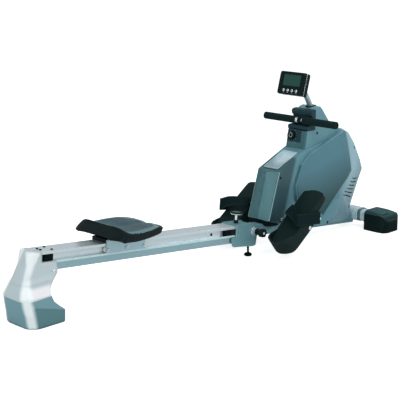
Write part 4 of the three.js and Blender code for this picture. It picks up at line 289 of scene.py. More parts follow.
RAIL_UP = (0.1002, 0, 0.99497)
RAIL_DOWN = (-0.1002, 0, -0.99497)
MATS = {
    # Painted shade: the rail is darker below the channel's lower lip.
    "rail": surface(
        "rail_aluminium", (206, 219, 224), 0.3, 0.65, grain=0.12, grain_scale=60, brushed=(0.6, 30, 30),
        edge=0.0014, vary=0.03, shades=(((146, 178, 186), RAIL_DOWN, -0.1305, -0.1300),)),
    # Rear foot: painted light on the side faces and a pinkish painted highlight on the flare's upper faces,
    # the plain tone brought back above the knee, painted highlight bands down the rear corners, and painted
    # shade on the lower skirt and on the side faces below the knee.
    "foot": surface(
        "foot_silver", (192, 207, 212), 0.55, 0.3, grain=0.06, grain_scale=900, edge=0.016, vary=0.03,
        facings=(*both_sides((208, 218, 222), (0, -1, 0), 0.6, 0.95),
                 *both_sides((240, 238, 242), (0, -0.3, 1), 0.52, 0.64)),
        shades=(((194, 207, 211), (0, 0, 1), 0.146, 0.158),
                *both_sides((240, 246, 248), (-1, -1, 0.66), 1.216, 1.228),
                ((116, 156, 165), (0.04, 0, -1), -0.1531, -0.1525),
                *both_sides((86, 128, 134), (-0.36, -3, -1), 0.5571, 0.5581),
                *both_sides((236, 244, 246), (-1, -1, -0.08), 1.1335, 1.1455))),
    "paint": surface(
        "frame_paint", (104, 148, 156), 0.4, 0.2, grain=0.22, grain_scale=700, wear=0.5, edge=0.002,
        coat=0.08, shine=0.25),
    "silver": surface(
        "silver_metal", (160, 184, 191), 0.34, 0.6, grain=0.12, grain_scale=600, edge=0.0015, wear=0.3,
        vary=0.04),
    "carriage": surface(
        "carriage_plate", (168, 196, 206), 0.36, 0.5, grain=0.12, grain_scale=600, edge=0.0012, wear=0.3,
        vary=0.04, shine=0.35, shades=(((18, 42, 46), RAIL_UP, 0.1778, 0.1784),)),
    "chrome": surface(
        "bright_steel", (226, 234, 237), 0.16, 0.95, grain=0.04, grain_scale=300, edge=0.0008, vary=0.03,
        smudge=0.06),
    # Housing: painted light on the front band, lighter at its top than on its lower facets; painted shade in
    # a strip behind the shroud's edge and towards the lower rear; and, by the way faces look, painted shade
    # on the rim round the dome and on the rear V faces, darker on the far half.
    "housing": surface(
        "housing_plastic", (98, 144, 156), 0.42, 0.1, grain=0.14, grain_scale=1200, speck=0.2, edge=0.004,
        coat=0.06, vary=0.05, wear=0.25, shine=0.2,
        shades=(((150, 186, 198), (1, 0, 0), 0.78, 0.90),
                ((122, 154, 164), (1, 0, -1), 0.60, 0.74),
                ((56, 88, 95), (-1, 0, 0.316), -0.342, -0.322),
                ((28, 58, 62), (-1, 0, -0.9), -0.50, -0.40)),
        crest=(*both_sides((60, 100, 108), (-0.85, -0.53, 0), 0.87, 0.93),
               ((80, 122, 127), (-1, 0, 0), 0.88, 0.94),
               ((55, 94, 98), (-0.8, 0.6, 0), 0.74, 0.775))),
    # Painted shade: the side panels grow darker towards the bottom.
    "panel": surface(
        "panel_plastic", (81, 127, 141), 0.38, 0.1, grain=0.14, grain_scale=1200, speck=0.16, edge=0.003,
        coat=0.06, vary=0.05, shine=0.22, shades=(((44, 80, 84), (0.25, 0, -1), -0.22, -0.02),)),
    # Painted highlight: the tray is lighter from about its middle forwards.
    "tray": surface(
        "tray_silver", (150, 176, 184), 0.4, 0.3, grain=0.1, grain_scale=600, edge=0.0015, vary=0.04,
        shades=(((200, 220, 227), (1, 0, 0), 0.415, 0.455),)),
    "black": surface(
        "black_plastic", (10, 26, 28), 0.5, grain=0.3, grain_scale=1400, wear=0.35, edge=0.0015,
        shine=0.06),
    "plate": surface(
        "footplate_black", (14, 34, 33), 0.55, grain=0.35, grain_scale=1100, wear=0.45, edge=0.002,
        shine=0.06),
    # Painted light: the caps' upward faces are lighter.
    "cap": surface(
        "cap_black", (9, 27, 28), 0.5, grain=0.3, grain_scale=1400, wear=0.3, edge=0.004, shine=0.04,
        facings=(((56, 88, 90), (0, 0, 1), 0.55, 0.98),)),
    "rubber": surface("black_rubber", (9, 19, 21), 0.75, grain=0.35, grain_scale=800, edge=0.001, shine=0.05),
    "foam": surface(
        "grip_foam", (17, 38, 39), 0.8, grain=0.9, grain_scale=1500, edge=0.002, sheen=0.03, shine=0.06),
    "nylon": surface("nylon_white", (222, 226, 208), 0.4, grain=0.1, edge=0.001, wear=0.3),
    "webbing": surface("webbing", (18, 35, 38), 0.75, weave=0.7, edge=0.0006, stitched=0.0045, shine=0.04),
    "screen": surface("screen_grey", (34, 74, 64), 0.12, edge=0.0005, vary=0.03, coat=0.08, shine=0.15),
    "button": surface("button_grey", (214, 224, 224), 0.4, grain=0.1, edge=0.0008, wear=0.3),
    "seat": surface(
        "seat_cover", (8, 23, 24), 0.46, grain=0.4, grain_scale=520, edge=0.003, vary=0.1, shine=0.09),
    # The pan's inset cover is lighter than the seat's sides and, by the row below, lighter again towards the
    # rear: in part its own tone, in part painted light from above. The piping and the band round the pan are
    # lighter in part as a painted highlight.
    "pan": surface(
        "seat_pan_cover_top_lit", (44, 76, 84), 0.5, grain=0.5, grain_scale=420, edge=0.003, sheen=0.04, vary=0.1,
        shine=0.14, shades=(((66, 100, 108), (-1, 0, 0), 0.52, 0.66),)),
    "piping": surface(
        "seat_piping_highlight", (92, 124, 130), 0.45, grain=0.3, grain_scale=900, edge=0.0006, sheen=0.05,
        shine=0.3),
    "mark": surface("pale_marking", (206, 220, 222), 0.5, grain=0.1, edge=0.0003, vary=0.05),
    # Painted highlight: a bright colour for thin beads that stand in for light caught along edges of the
    # rail, shroud and tray.
    "highlight_bead": surface(
        "painted_edge_highlight", (196, 226, 228), 0.3, 0.3, grain=0.08, edge=0.0004, vary=0.12, vary_scale=60),
    "charcoal": surface(
        "charcoal_plastic", (30, 58, 65), 0.5, grain=0.3, grain_scale=1400, wear=0.3, edge=0.0015,
        shine=0.1),
    # Painted light: a grey top for the black lock knob, lighter as light falls on it.
    "knob_top_painted_light": surface("knob_top_painted_light", (52, 88, 88), 0.5, grain=0.2, grain_scale=900, edge=0.001, shine=0.2),
    "tube": surface(
        "tube_silver", (206, 228, 236), 0.38, 0.2, grain=0.12, grain_scale=600, edge=0.0015, wear=0.3,
        vary=0.04),
    # Dark trim for real dark parts, also used for painted shade: the band under the shroud, the line under
    # the tray's lip, the oval round the arm and the discs in the carriage bolts' recesses.
    "dark_trim_and_shade": surface("dark_trim_and_shade", (8, 22, 25), 0.5, grain=0.2, grain_scale=900, edge=0.0006, shine=0.1),
}

LOOKS = {
    "rail": ["rail"],
    "foot": ["rear_foot"],
    "paint": ["rail_sleeve", "base_beam"],
    "tube": ["front_stabiliser"],
    "charcoal": ["handle_cradle", "knob_panel"],
    "silver": ["upright_post", "bearing_bracket", "console_arm", "magnet_arm"],
    "carriage": ["seat_carriage"],
    "chrome": ["hinge_bolt", "handle_bar", "flywheel", "flywheel_axle", "drum_axle", "pedal_axle"],
    "housing": ["housing_shell_near", "housing_shell_far"],
    "panel": ["side_panel_near", "side_panel_far"],
    "tray": ["tray"],
    "cap": ["stabiliser_cap_near", "stabiliser_cap_far"],
    "black": ["tension_knob", "hinge_knob", "lock_pin", "console_case", "seat_base"],
    "plate": ["footplate_near", "footplate_far"],
    "rubber": ["bumper_front_near", "bumper_front_far", "bumper_rear_near", "bumper_rear_far",
               "levelling_foot", "transport_wheel_near", "transport_wheel_far", "drive_belt",
               "arm_grommet"],
    "foam": ["grip_near", "grip_far"],
    "nylon": ["seat_roller_front_near", "seat_roller_front_far", "seat_roller_rear_near",
              "seat_roller_rear_far", "strap_roller", "strap_drum"],
    "webbing": ["strap_loop", "strap", "strap_run", "foot_strap_near", "foot_strap_far"],
    "screen": ["console_screen"],
    "button": ["button_1", "button_2", "button_3", "button_4"],
    "seat": ["seat_pad"],
}
for look, names in LOOKS.items():
    for name in names:
        slots = nodes[name].data.materials
        if slots:
            for i in range(len(slots)):
                slots[i] = MATS[look]
        else:
            slots.append(MATS[look])


# Places on the parts that lean, in metres, from lengths in millimetres

HINGE_X = 206
HINGE_Z = 127.5
RAIL_SLOPE = math.radians(5.75)
PEDAL_X = 390
PEDAL_Z = 140
PEDAL_SLOPES = {-1: math.radians(38), 1: math.radians(34.5)}
PEDAL_SHIFTS = {-1: (0, 0, 0), 1: (-25, 12, 8)}
CONSOLE_X = 518.7
CONSOLE_Z = 763.5
CONSOLE_LEAN = math.radians(15.7)
TOWER_X = 530
TOWER_Z = 430
TOWER_LEAN = math.atan2(22, 125)


def on_rail(s, y, n):
    """Along the incline from the hinge, across, and above the hinge line."""
    c, d = math.cos(RAIL_SLOPE), math.sin(RAIL_SLOPE)
    return Vector((HINGE_X + s * c + n * d, y, HINGE_Z - s * d + n * c)) * MM


def on_pedal(side, along, outward, above):
    """Along a footplate from its axle, outwards from the centre plane, and above the axle."""
    c, d = math.cos(PEDAL_SLOPES[side]), math.sin(PEDAL_SLOPES[side])
    further, wider, higher = PEDAL_SHIFTS[side]
    along, outward, above = along + further, outward + wider, above + higher
    return Vector((PEDAL_X + along * c - above * d, side * outward, PEDAL_Z + along * d + above * c)) * MM


def on_lean(middle_x, middle_z, lean, depth, y, height):
    """Into a face that leans back, across, and up it."""
    c, d = math.cos(lean), math.sin(lean)
    return Vector((middle_x + depth * c + height * d, y, middle_z - depth * d + height * c)) * MM


def on_console(depth, y, height):
    return on_lean(CONSOLE_X, CONSOLE_Z, CONSOLE_LEAN, depth, y, height)


def on_tower(depth, y, height):
    return on_lean(TOWER_X, TOWER_Z, TOWER_LEAN, depth, y, height)


def point(x, y, z):
    return Vector((x, y, z)) * MM


# Shapes

SHARP_ANGLE = 38
BEAD_ANGLE = 60
BAND_ANGLE = 50
HEM_WIDTH = 0.004
HEM_THINNER = 0.86
EDGE_THINNER = 0.55


def tidy(obj, angle):
    """Faces turned outwards, and edges sharper than the angle left crisp."""
    work = bmesh.new()
    work.from_mesh(obj.data)
    bmesh.ops.recalc_face_normals(work, faces=work.faces)
    work.to_mesh(obj.data)
    work.free()
    obj.data.shade_smooth()
    obj.data.set_sharp_from_angle(angle=math.radians(angle))
    return obj


def lathe(name, profile, centre, axis, segments, shape=None, angle=SHARP_ANGLE):
    """Rings of radius and height turned about an axis; shape(radius, height, angle) may bend them."""
    axis = Vector(axis).normalized()
    aside = Vector((0, 0, 1)) if abs(axis.z) < 0.9 else Vector((1, 0, 0))
    u = (aside - axis * aside.dot(axis)).normalized()
    v = axis.cross(u)
    verts, rings = [], []
    for radius, height in profile:
        first = len(verts)
        if not radius:
            verts.append(Vector(centre) + axis * height)
            rings.append([first])
            continue
        for i in range(segments):
            a = 2 * math.pi * i / segments
            r, h = shape(radius, height, a) if shape else (radius, height)
            verts.append(Vector(centre) + axis * h + (u * math.cos(a) + v * math.sin(a)) * r)
        rings.append(list(range(first, first + segments)))
    faces = []
    for a, b in zip(rings, rings[1:]):
        for i in range(segments):
            j = (i + 1) % segments
            if len(a) == 1:
                faces.append((a[0], b[i], b[j]))
            else:
                faces.append((a[i], b[i], b[j], a[j]))
    return tidy(mesh_object(name, verts, faces), angle)


def skin_of(name, rings, closed=False, angle=SHARP_ANGLE):
    """A closed skin over rings with the same number of points; the ends are filled unless it closes on
    itself."""
    count = len(rings[0])
    total = len(rings)
    verts = [p for ring in rings for p in ring]
    faces = []
    for r in range(total if closed else total - 1):
        a, b = r * count, ((r + 1) % total) * count
        for i in range(count):
            j = (i + 1) % count
            faces.append((a + i, a + j, b + j, b + i))
    if not closed:
        faces.append(tuple(range(count - 1, -1, -1)))
        faces.append(tuple((total - 1) * count + i for i in range(count)))
    return tidy(mesh_object(name, verts, faces), angle)


def tube_along(name, points, radius, closed, flat, lifts):
    """A thin flattened bead along points, each with the way that is up."""
    sides = 8
    rings = []
    total = len(points)
    for i, (spot, up) in enumerate(zip(points, lifts)):
        before = points[(i - 1) % total] if closed else points[max(0, i - 1)]
        after = points[(i + 1) % total] if closed else points[min(total - 1, i + 1)]
        heading = (after - before).normalized()
        lift = (up - heading * up.dot(heading)).normalized()
        aside = heading.cross(lift)
        turns = [2 * math.pi * k / sides for k in range(sides)]
        rings.append([spot + aside * (radius * math.cos(a)) + lift * (radius * flat * math.sin(a))
                      for a in turns])
    return skin_of(name, rings, closed, BEAD_ANGLE)


def catmull(points, steps):
    """A smooth line through points."""
    found = []
    last = len(points) - 1
    for i in range(last):
        p0, p1, p2, p3 = points[max(0, i - 1)], points[i], points[i + 1], points[min(last, i + 2)]
        for k in range(steps):
            t = k / steps
            found.append(0.5 * ((2 * p1) + (p2 - p0) * t + (2 * p0 - 5 * p1 + 4 * p2 - p3) * t ** 2
                                + (3 * p1 - p0 - 3 * p2 + p3) * t ** 3))
    found.append(points[-1].copy())
    return found


def ribbon(name, rows, thickness, steps, across, slack=0.0):
    """A band of webbing through rows of two edges, with thicker hems, and its length and its distance from
    the nearer hem kept as UV in metres."""
    left = catmull([Vector(a) for a, _ in rows], steps)
    right = catmull([Vector(b) for _, b in rows], steps)
    middle = [(a + b) / 2 for a, b in zip(left, right)]
    rings, spots = [], []
    run = 0.0
    for i, (a, b) in enumerate(zip(left, right)):
        heading = middle[min(len(middle) - 1, i + 1)] - middle[max(0, i - 1)]
        normal = heading.cross(a - b).normalized()
        if i:
            run += (middle[i] - middle[i - 1]).length
        width = (a - b).length
        upper, lower, marks = [], [], []
        for j in range(across + 1):
            share = j / across
            spot = a.lerp(b, share)
            hem = min(share, 1 - share) * width
            ripple = noise.noise(Vector((run * 42, share * 1.3, 3.7)))
            wave = slack * ripple * (1 - (2 * share - 1) ** 6 * 0.4)
            half = thickness / 2 * (HEM_THINNER if hem > HEM_WIDTH else 1)
            if hem < 1e-6:
                half *= EDGE_THINNER
            upper.append(spot + normal * (half + wave))
            lower.append(spot + normal * (wave - half))
            marks.append((run, hem))
        rings.append(upper + lower[::-1])
        spots += marks + marks[::-1]
    obj = skin_of(name, rings, False, BAND_ANGLE)
    layer = obj.data.uv_layers.new(name="band")
    for loop in obj.data.loops:
        layer.data[loop.index].uv = spots[loop.vertex_index]
    return obj


def dressed(obj, look, body):
    obj.data.materials.clear()
    obj.data.materials.append(MATS[look])
    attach(obj, body)
    return obj


def turned(name, profile, centre, axis, segments, look, body):
    return dressed(lathe(name, profile, centre, axis, segments), look, body)


def tree_of_meshes(meshes):
    """A search tree over meshes, to lay small pieces on their surfaces."""
    verts, faces = [], []
    for mesh in meshes:
        start = len(verts)
        verts.extend(v.co.copy() for v in mesh.vertices)
        faces.extend(tuple(start + i for i in p.vertices) for p in mesh.polygons)
    return BVHTree.FromPolygons(verts, faces)


def tree_on(*names):
    return tree_of_meshes([nodes[name].data for name in names])


def laid(tree, start, heading):
    """Where a ray meets the surface, and the surface's way out towards the ray's start."""
    spot, normal, _, _ = tree.ray_cast(start, heading)
    if spot is not None and normal.dot(heading) > 0:
        normal = -normal
    return spot, normal


def laid_on_side(tree, side, x, z):
    return laid(tree, Vector((x * MM, side * 0.4, z * MM)), Vector((0, -side, 0)))


def screw(name, centre, normal, radius, look, body, drive, height, washer=0.0):
    """A domed screw head with a cross or hexagon recess and, where asked, a washer under it."""
    def recess(r, h, a):
        if r < radius * 0.62 and h > -0.0005:
            if drive == "cross":
                arm = abs(((a + math.pi / 4) % (math.pi / 2)) - math.pi / 4) * r
                if arm < radius * 0.13 and r < radius * 0.56:
                    return r, h - height * 0.55
            elif r > radius * 0.3:
                return r * (math.cos(math.pi / 6) / math.cos((a % (math.pi / 3)) - math.pi / 6)), h
        return r, h

    if drive == "cross":
        shares = ((0, 0.42), (0.2, 0.95), (0.4, 0.92), (0.55, 0.85), (0.72, 0.74), (0.9, 0.42), (1, 0))
    else:
        shares = ((0, 0.25), (0.5, 0.25), (0.52, 0.96), (0.78, 1), (0.94, 0.86), (1, 0.6))
    profile = [(radius * r, height * h) for r, h in shares] + [(radius, -0.001)]
    if washer:
        profile += [(washer * 0.98, -0.0008), (washer, -0.0016), (washer * 0.9, -0.0022)]
    return dressed(lathe(name, profile, centre, normal, 36, recess, 28), look, body)


# Seat pad: a moulded saddle, swollen by a cloth simulation, with a bead round its pan

SEAT_X = -553
SEAT_Z = 262
SEAT_LENGTH = 290
SEAT_HALF = 152
SEAT_TAPER = 33.6
TAPER_FROM = 0.3
REAR_CORNER = 52
FRONT_CORNER = 44
RIDGE = 0.16
RIDGE_RUN = 0.2
RIDGE_TOP = 60
REAR_TOP = 24
PAN_TOP = 29
NOSE_FROM = 0.55
NOSE_DROP = 7
RIM_RISE = 6
GROOVE = 5
GROOVE_HALF = 0.16
SEAT_ROWS = 46
SEAT_COLUMNS = 36
REAR_TUCK = 32
TUCK_TO = 0.14
FRONT_TUCK = 6
FRONT_TUCK_FROM = 0.9
SIDE_TUCK = 8
SIDE_HANG = 9
LEAST_THICKNESS = 3
SWELL_PRESSURE = 4.0
SWELL = 2.2
SWELL_FRAMES = 20
PAN_MIDDLE = 0.585
PAN_REACH = 0.345
PAN_HALF = 0.8
PAN_BORDER = 1.7
BEAD_STEPS = 120


def corner_drop(corner, left):
    return corner - math.sqrt(max(0, corner ** 2 - max(0, left) ** 2))


def seat_half_at(share):
    run = share * SEAT_LENGTH
    body = SEAT_HALF - SEAT_TAPER * max(0, share - TAPER_FROM)
    rear = corner_drop(REAR_CORNER, REAR_CORNER - run)
    front = corner_drop(FRONT_CORNER, FRONT_CORNER - (SEAT_LENGTH - run))
    return body - rear - front


def seat_top_at(share, across):
    """The top's height over the seat's floor, from rear to front and from one side to the other."""
    out = abs(across)
    behind = share < RIDGE
    slope = min(1, abs(share - RIDGE) / (RIDGE if behind else RIDGE_RUN))
    fall = slope if behind else math.sin(slope * math.pi / 2)
    low = REAR_TOP if behind else PAN_TOP
    crest = (RIDGE_TOP - low) * (1 - fall) * (1 - out ** 6)
    front = max(0, (share - NOSE_FROM) / (1 - NOSE_FROM))
    rim = RIM_RISE * out ** 4 * (1 - 0.8 * front)
    groove = GROOVE * math.exp(-((across / GROOVE_HALF) ** 2)) * min(1, max(0, share - TAPER_FROM) * 4)
    return low + crest + rim * (share / RIDGE if behind else 1) - NOSE_DROP * front ** 2 - groove


def seat_place(x, y, z):
    return point(SEAT_X + x, y, SEAT_Z + z)


def seat_blank(shrink):
    """The pad's closed skin, smaller all round by shrink, in millimetres."""
    rings = []
    for i in range(SEAT_ROWS + 1):
        share = 0.5 - 0.5 * math.cos(math.pi * i / SEAT_ROWS)
        x = (share - 0.5) * (SEAT_LENGTH - 2 * shrink)
        half = seat_half_at(share) - shrink
        tuck = REAR_TUCK * max(0, 1 - share / TUCK_TO)
        front_tuck = FRONT_TUCK * max(0, share - FRONT_TUCK_FROM) / (1 - FRONT_TUCK_FROM)
        sag = SIDE_HANG * max(0, 1 - ((share - 0.6) / 0.4) ** 2)
        top, foot = [], []
        for j in range(SEAT_COLUMNS + 1):
            eased = math.sin((2 * j / SEAT_COLUMNS - 1) * math.pi / 2)
            lip = 1 - abs(eased) ** 18
            height = max(LEAST_THICKNESS, (seat_top_at(share, eased) - shrink) * (0.72 + 0.28 * lip))
            hang = sag * min(1, max(0, (abs(eased) - 0.4) / 0.35))
            top.append(seat_place(x, eased * half, height))
            foot.append(seat_place(x + tuck - front_tuck, eased * (half - SIDE_TUCK),
                                   shrink + tuck * 0.1 - hang))
        rings.append(top + foot[::-1])
    return skin_of("seat_cushion", rings)


def swell(obj, pressure, most):
    """Cloth pressed outwards, each point moving no further than most, in metres."""
    rest = [v.co.copy() for v in obj.data.vertices]
    cloth = obj.modifiers.new("cloth", "CLOTH")
    cloth.settings.use_pressure = True
    cloth.settings.uniform_pressure_force = pressure
    cloth.settings.effector_weights.gravity = 0
    cloth.settings.quality = 5
    cloth.point_cache.frame_end = SWELL_FRAMES
    for frame_number in range(1, SWELL_FRAMES + 1):
        scene.frame_set(frame_number)
    depsgraph = bpy.context.evaluated_depsgraph_get()
    moved = [v.co.copy() for v in obj.evaluated_get(depsgraph).data.vertices]
    obj.modifiers.remove(cloth)
    for vertex, before, after in zip(obj.data.vertices, rest, moved):
        step = after - before
        if step.length > most:
            step *= most / step.length
        vertex.co = before + step
    scene.frame_set(1)
    obj.data.update()


cushion = seat_blank(SWELL)
swell(cushion, SWELL_PRESSURE, SWELL * MM)
cushion.data.shade_smooth()
dressed(cushion, "seat", "seat_body")
cushion.data.materials.append(MATS["pan"])
cushion.data.materials.append(MATS["piping"])
# Upward faces in the pan take the pan's colour and those in the band round it the piping's, lighter in part
# as painted light from above.
for face in cushion.data.polygons:
    x, y, _ = face.center / MM
    share = (x - SEAT_X) / SEAT_LENGTH + 0.5
    across = y / seat_half_at(min(0.999, max(0.001, share)))
    inside = abs((share - PAN_MIDDLE) / PAN_REACH) ** 3 + abs(across / PAN_HALF) ** 3
    if face.normal.z > 0.3 and inside < PAN_BORDER:
        face.material_index = 1 if inside < 1 else 2
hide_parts("seat_pad")

cushion_tree = tree_of_meshes([cushion.data])
bead, lifts = [], []
for i in range(BEAD_STEPS):
    a = 2 * math.pi * i / BEAD_STEPS
    c, s = math.cos(a), math.sin(a)
    share = PAN_MIDDLE + PAN_REACH * math.copysign(abs(c) ** (2 / 3), c)
    across = PAN_HALF * math.copysign(abs(s) ** (2 / 3), s)
    above = point(SEAT_X + (share - 0.5) * SEAT_LENGTH, across * seat_half_at(share), 600)
    spot, normal = laid(cushion_tree, above, DOWN)
    if spot is not None:
        bead.append(spot + normal * 0.0002)
        lifts.append(normal)
piping = dressed(tube_along("seat_piping_highlight", bead, 0.0017, True, 0.7, lifts), "piping", "seat_body")


# Foot straps: wide webbing from the inner side wall, over the foot's place and down the outer side

FOOT_STRAP_THICKNESS = 0.0036
FOOT_STRAP_SLACK = 0.0016
STRAP_LEAN = (17.9, 74.9, 29.1)
STRAP_OVER = [
    # one edge and the other, each along, outward and above
    ((63, 102.7, 26), (5, 102.7, 26)),
    ((63, 102.7, 55), (5, 102.7, 60)),
    ((61, 108.7, 66), (3, 109.7, 76)),
    ((51, 125.7, 81), (-9, 125.7, 86)),
    ((30, 158, 99), (-26, 158, 91)),
    ((6, 192, 116), (-44, 193, 88)),
]
STRAP_DOWN = ((-39, 215, 50), (-37, 225.3, 44), (0, 225.3, 9), (38, 225.3, -28), (78, 221.3, -68))
STRAP_BOLT = (74, 223.4, -19)

reach, upper, lower = STRAP_LEAN
strap_rows = STRAP_OVER + [((a + reach, out, upper + h), (a - reach, out, lower + h))
                           for a, out, h in STRAP_DOWN]
for side, word in SIDES:
    rows = [(on_pedal(side, *a), on_pedal(side, *b)) for a, b in strap_rows]
    band = ribbon(f"foot_band_{word}", rows, FOOT_STRAP_THICKNESS, 7, 12, FOOT_STRAP_SLACK)
    dressed(band, "webbing", f"pedal_{word}_body")
    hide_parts(f"foot_strap_{word}")
    screw(f"foot_band_bolt_{word}", on_pedal(side, *STRAP_BOLT), (0, side, 0), 0.0048, "chrome",
          f"pedal_{word}_body", "hex", 0.0022, 0.0068)


# Pull strap: the stretch from the handle to its roller, the run down to the drum, and the handle's loop

STRAP_THICKNESS = 0.0022
STRAP_Z = 587.5
STRAP_FROM = 594
STRAP_TO = 664
ROLLER_Z = 573
ROLLER_REACH = 14.5
DRUM_Z = 400
DRUM_LEAN = 2.79
LOOP_X = 570.7
LOOP_RADIUS = 12.9
LOOP_THICKNESS = 0.0016
LOOP_START = [(592.6, 588.2), (589, 588.4), (585.8, 588.9)]
LOOP_END = [(586.5, 586.8), (589.5, 586.8), (592.6, 586.8)]
PULL_EDGES = (-12.5, 12.5)
RUN_EDGES = (-12.4, 12.4)
LOOP_EDGES = (-10.7, 7.2)


def strap_row(x, z, edges):
    return [point(x, y, z) for y in edges]


rows = [strap_row(STRAP_FROM + (STRAP_TO - STRAP_FROM) * i / 26, STRAP_Z, PULL_EDGES) for i in range(27)]
pull = ribbon("pull_strap", rows, STRAP_THICKNESS, 2, 8)
pull.data.materials.append(MATS["webbing"])
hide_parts("strap")
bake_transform(pull)

turns = [math.radians(88) * (1 - i / 12) for i in range(13)]
rows = [strap_row(STRAP_TO + ROLLER_REACH * math.cos(a), ROLLER_Z + ROLLER_REACH * math.sin(a), RUN_EDGES)
        for a in turns]
for i in range(1, 9):
    share = i / 8
    rows.append(strap_row(STRAP_TO + ROLLER_REACH + DRUM_LEAN * share,
                          ROLLER_Z + (DRUM_Z - ROLLER_Z) * share, RUN_EDGES))
run = dressed(ribbon("strap_to_drum", rows, STRAP_THICKNESS, 2, 8), "webbing", "base")
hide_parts("strap_run")

turns = [math.radians(8 + 344 * i / 24) for i in range(25)]
circle = [(LOOP_X + LOOP_RADIUS * math.cos(a), STRAP_Z + LOOP_RADIUS * math.sin(a)) for a in turns]
rows = [strap_row(x, z, LOOP_EDGES) for x, z in LOOP_START + circle + LOOP_END]
loop = dressed(ribbon("handle_loop", rows, LOOP_THICKNESS, 2, 6), "webbing", "handle_body")
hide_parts("strap_loop")


# Screws: in the housing, each in its dark counterbore, on the frame, in the rear foot and in the rail

HOUSING_SCREWS = ((629, 526), (359, 353), (955, 409), (716, 77), (933, 110))
COUNTERBORE = ((0.0026, 0.0001), (0.0042, 0.0001), (0.0056, 0.0007), (0.0062, 0.0005), (0.0064, -0.0008))
FRAME_BOLT = (372, 154)
RAIL_SCREWS = ((-964, -10), (-921, -24), (-964, 10), (-921, 24))
FOOT_BOLT = (-938, 200)
CHANNEL_SCREW = (-264, 28.1, 5.2)

shell_trees = {side: tree_on(f"housing_shell_{word}", f"side_panel_{word}") for side, word in SIDES}
for side, word in SIDES:
    for i, (x, z) in enumerate(HOUSING_SCREWS):
        spot, normal = laid_on_side(shell_trees[side], side, x, z)
        if spot is not None:
            turned(f"housing_well_{word}_{i + 1}", COUNTERBORE, spot, normal, 28, "dark_trim_and_shade", "base")
            screw(f"housing_screw_{word}_{i + 1}", spot + normal * 0.0002, normal, 0.0036, "dark_trim_and_shade",
                  "base", "cross", 0.001)
for side, word in SIDES:
    spot, normal = laid_on_side(shell_trees[side], side, *FRAME_BOLT)
    if spot is not None:
        screw(f"frame_bolt_{word}_1", spot + normal * 0.001, normal, 0.0052, "chrome", "base", "hex", 0.003,
              0.008)

rail_tree = tree_on("rail", "rear_foot")
for i, (x, y) in enumerate(RAIL_SCREWS):
    spot, normal = laid(rail_tree, point(x, y, 500), DOWN)
    if spot is not None:
        screw(f"rail_screw_{i + 1}", spot + normal * 0.0006, normal, 0.0052, "dark_trim_and_shade", "rail_body", "hex",
              0.0026, 0.0066)
for side, word in SIDES:
    spot, normal = laid_on_side(rail_tree, side, *FOOT_BOLT)
    if spot is not None:
        screw(f"foot_bolt_{word}", spot + normal * 0.0008, normal, 0.0056, "chrome", "rail_body", "hex",
              0.003, 0.008)
s, y, n = CHANNEL_SCREW
for side, word in SIDES:
    screw(f"channel_screw_{word}", on_rail(s, side * y, n), (0, side, 0), 0.0062, "dark_trim_and_shade", "rail_body",
          "hex", 0.0016)


# Painted shade: dark blocks between the front stops and the sleeve, where the channel lies in shade, and a
# painted highlight along the lower lip of each channel


def rail_bar(name, ends, sides, heights, look, ease=0.6):
    """A bar along the incline with eased ends, between two sides and two heights."""
    start, end = ends
    y0, y1 = sides
    low, high = heights
    rings = []
    for s, trim in ((start, ease), (start + ease, 0), (end - ease, 0), (end, ease)):
        inward = trim * (1 if y1 > y0 else -1)
        rings.append([on_rail(s, y0 + inward, low + trim), on_rail(s, y1 - inward, low + trim),
                      on_rail(s, y1 - inward, high - trim), on_rail(s, y0 + inward, high - trim)])
    return dressed(skin_of(name, rings), look, "rail_body")


for side, word in SIDES:
    # Painted shade in the channel, then a painted highlight on its lower lip.
    rail_bar(f"channel_shade_block_{word}", (-151.6, -123), (side * 28.4, side * 40.2), (-7.7, 19.5), "black")
    rail_bar(f"channel_lip_highlight_{word}", (-1112, -124), (side * 40.6, side * 41.5), (-16.6, -9.4), "highlight_bead",
             0.3)


# Carriage: the dark mount up to the seat, a flange at each side, and bolts in the side plates, each with a
# painted shade disc in its recess

MOUNT_ENDS = (-879, -674)
MOUNT_FOOT = 34.75
MOUNT_TOP = 261.5
FLANGE_ENDS = (-879.7, -672.3)
FLANGE_FOOT = 27
CARRIAGE_BOLTS = ((-872, 5.9, 48.5), (-768, 10, 45.5), (-680, 5.9, 48.5))
BOLT_SHADE_DISC = ((0, 0.0009), (0.0027, 0.0009), (0.0028, 0.0002))


def riser_ring(ends, y, foot, trim):
    """A section of a riser from the incline up to the seat's floor."""
    start, end = ends
    low = [on_rail(start + trim, y, foot), on_rail(end - trim, y, foot)]
    high = [Vector((spot.x, y * MM, (MOUNT_TOP - trim) * MM)) for spot in low[::-1]]
    return low + high


rings = [riser_ring(MOUNT_ENDS, y, MOUNT_FOOT, trim) for y, trim in ((-41, 2), (-39, 0), (39, 0), (41, 2))]
dressed(skin_of("seat_mount", rings), "black", "seat_body")
for side, word in SIDES:
    rings = [riser_ring(FLANGE_ENDS, side * y, FLANGE_FOOT + trim, trim)
             for y, trim in ((42.8, 0), (45.9, 0), (46.3, 0.6))]
    dressed(skin_of(f"seat_flange_{word}", rings), "silver", "seat_body")
    for i, (along, n, y) in enumerate(CARRIAGE_BOLTS):
        spot = on_rail(along, side * y, n)
        screw(f"seat_bolt_{word}_{i + 1}", spot, (0, side, 0), 0.0056, "chrome", "seat_body", "hex", 0.0022)
        # Painted shade: a dark disc in the bolt's recess.
        turned(f"seat_bolt_shade_disc_{word}_{i + 1}", BOLT_SHADE_DISC, spot, (0, side, 0), 18, "dark_trim_and_shade", "seat_body")


# Housing: a painted shadow band between the shroud and the beam, painted highlight beads along the edges of
# the shroud and the tray, and a painted shadow line under the tray's lip

SHADOW_BAND_HALF = 56
SHADOW_BAND_EASE = 2
SHROUD_SHADOW_BAND = ((284, 164, 140), (288, 163, 134), (312, 153, 129), (345, 143, 127), (360, 138, 127))

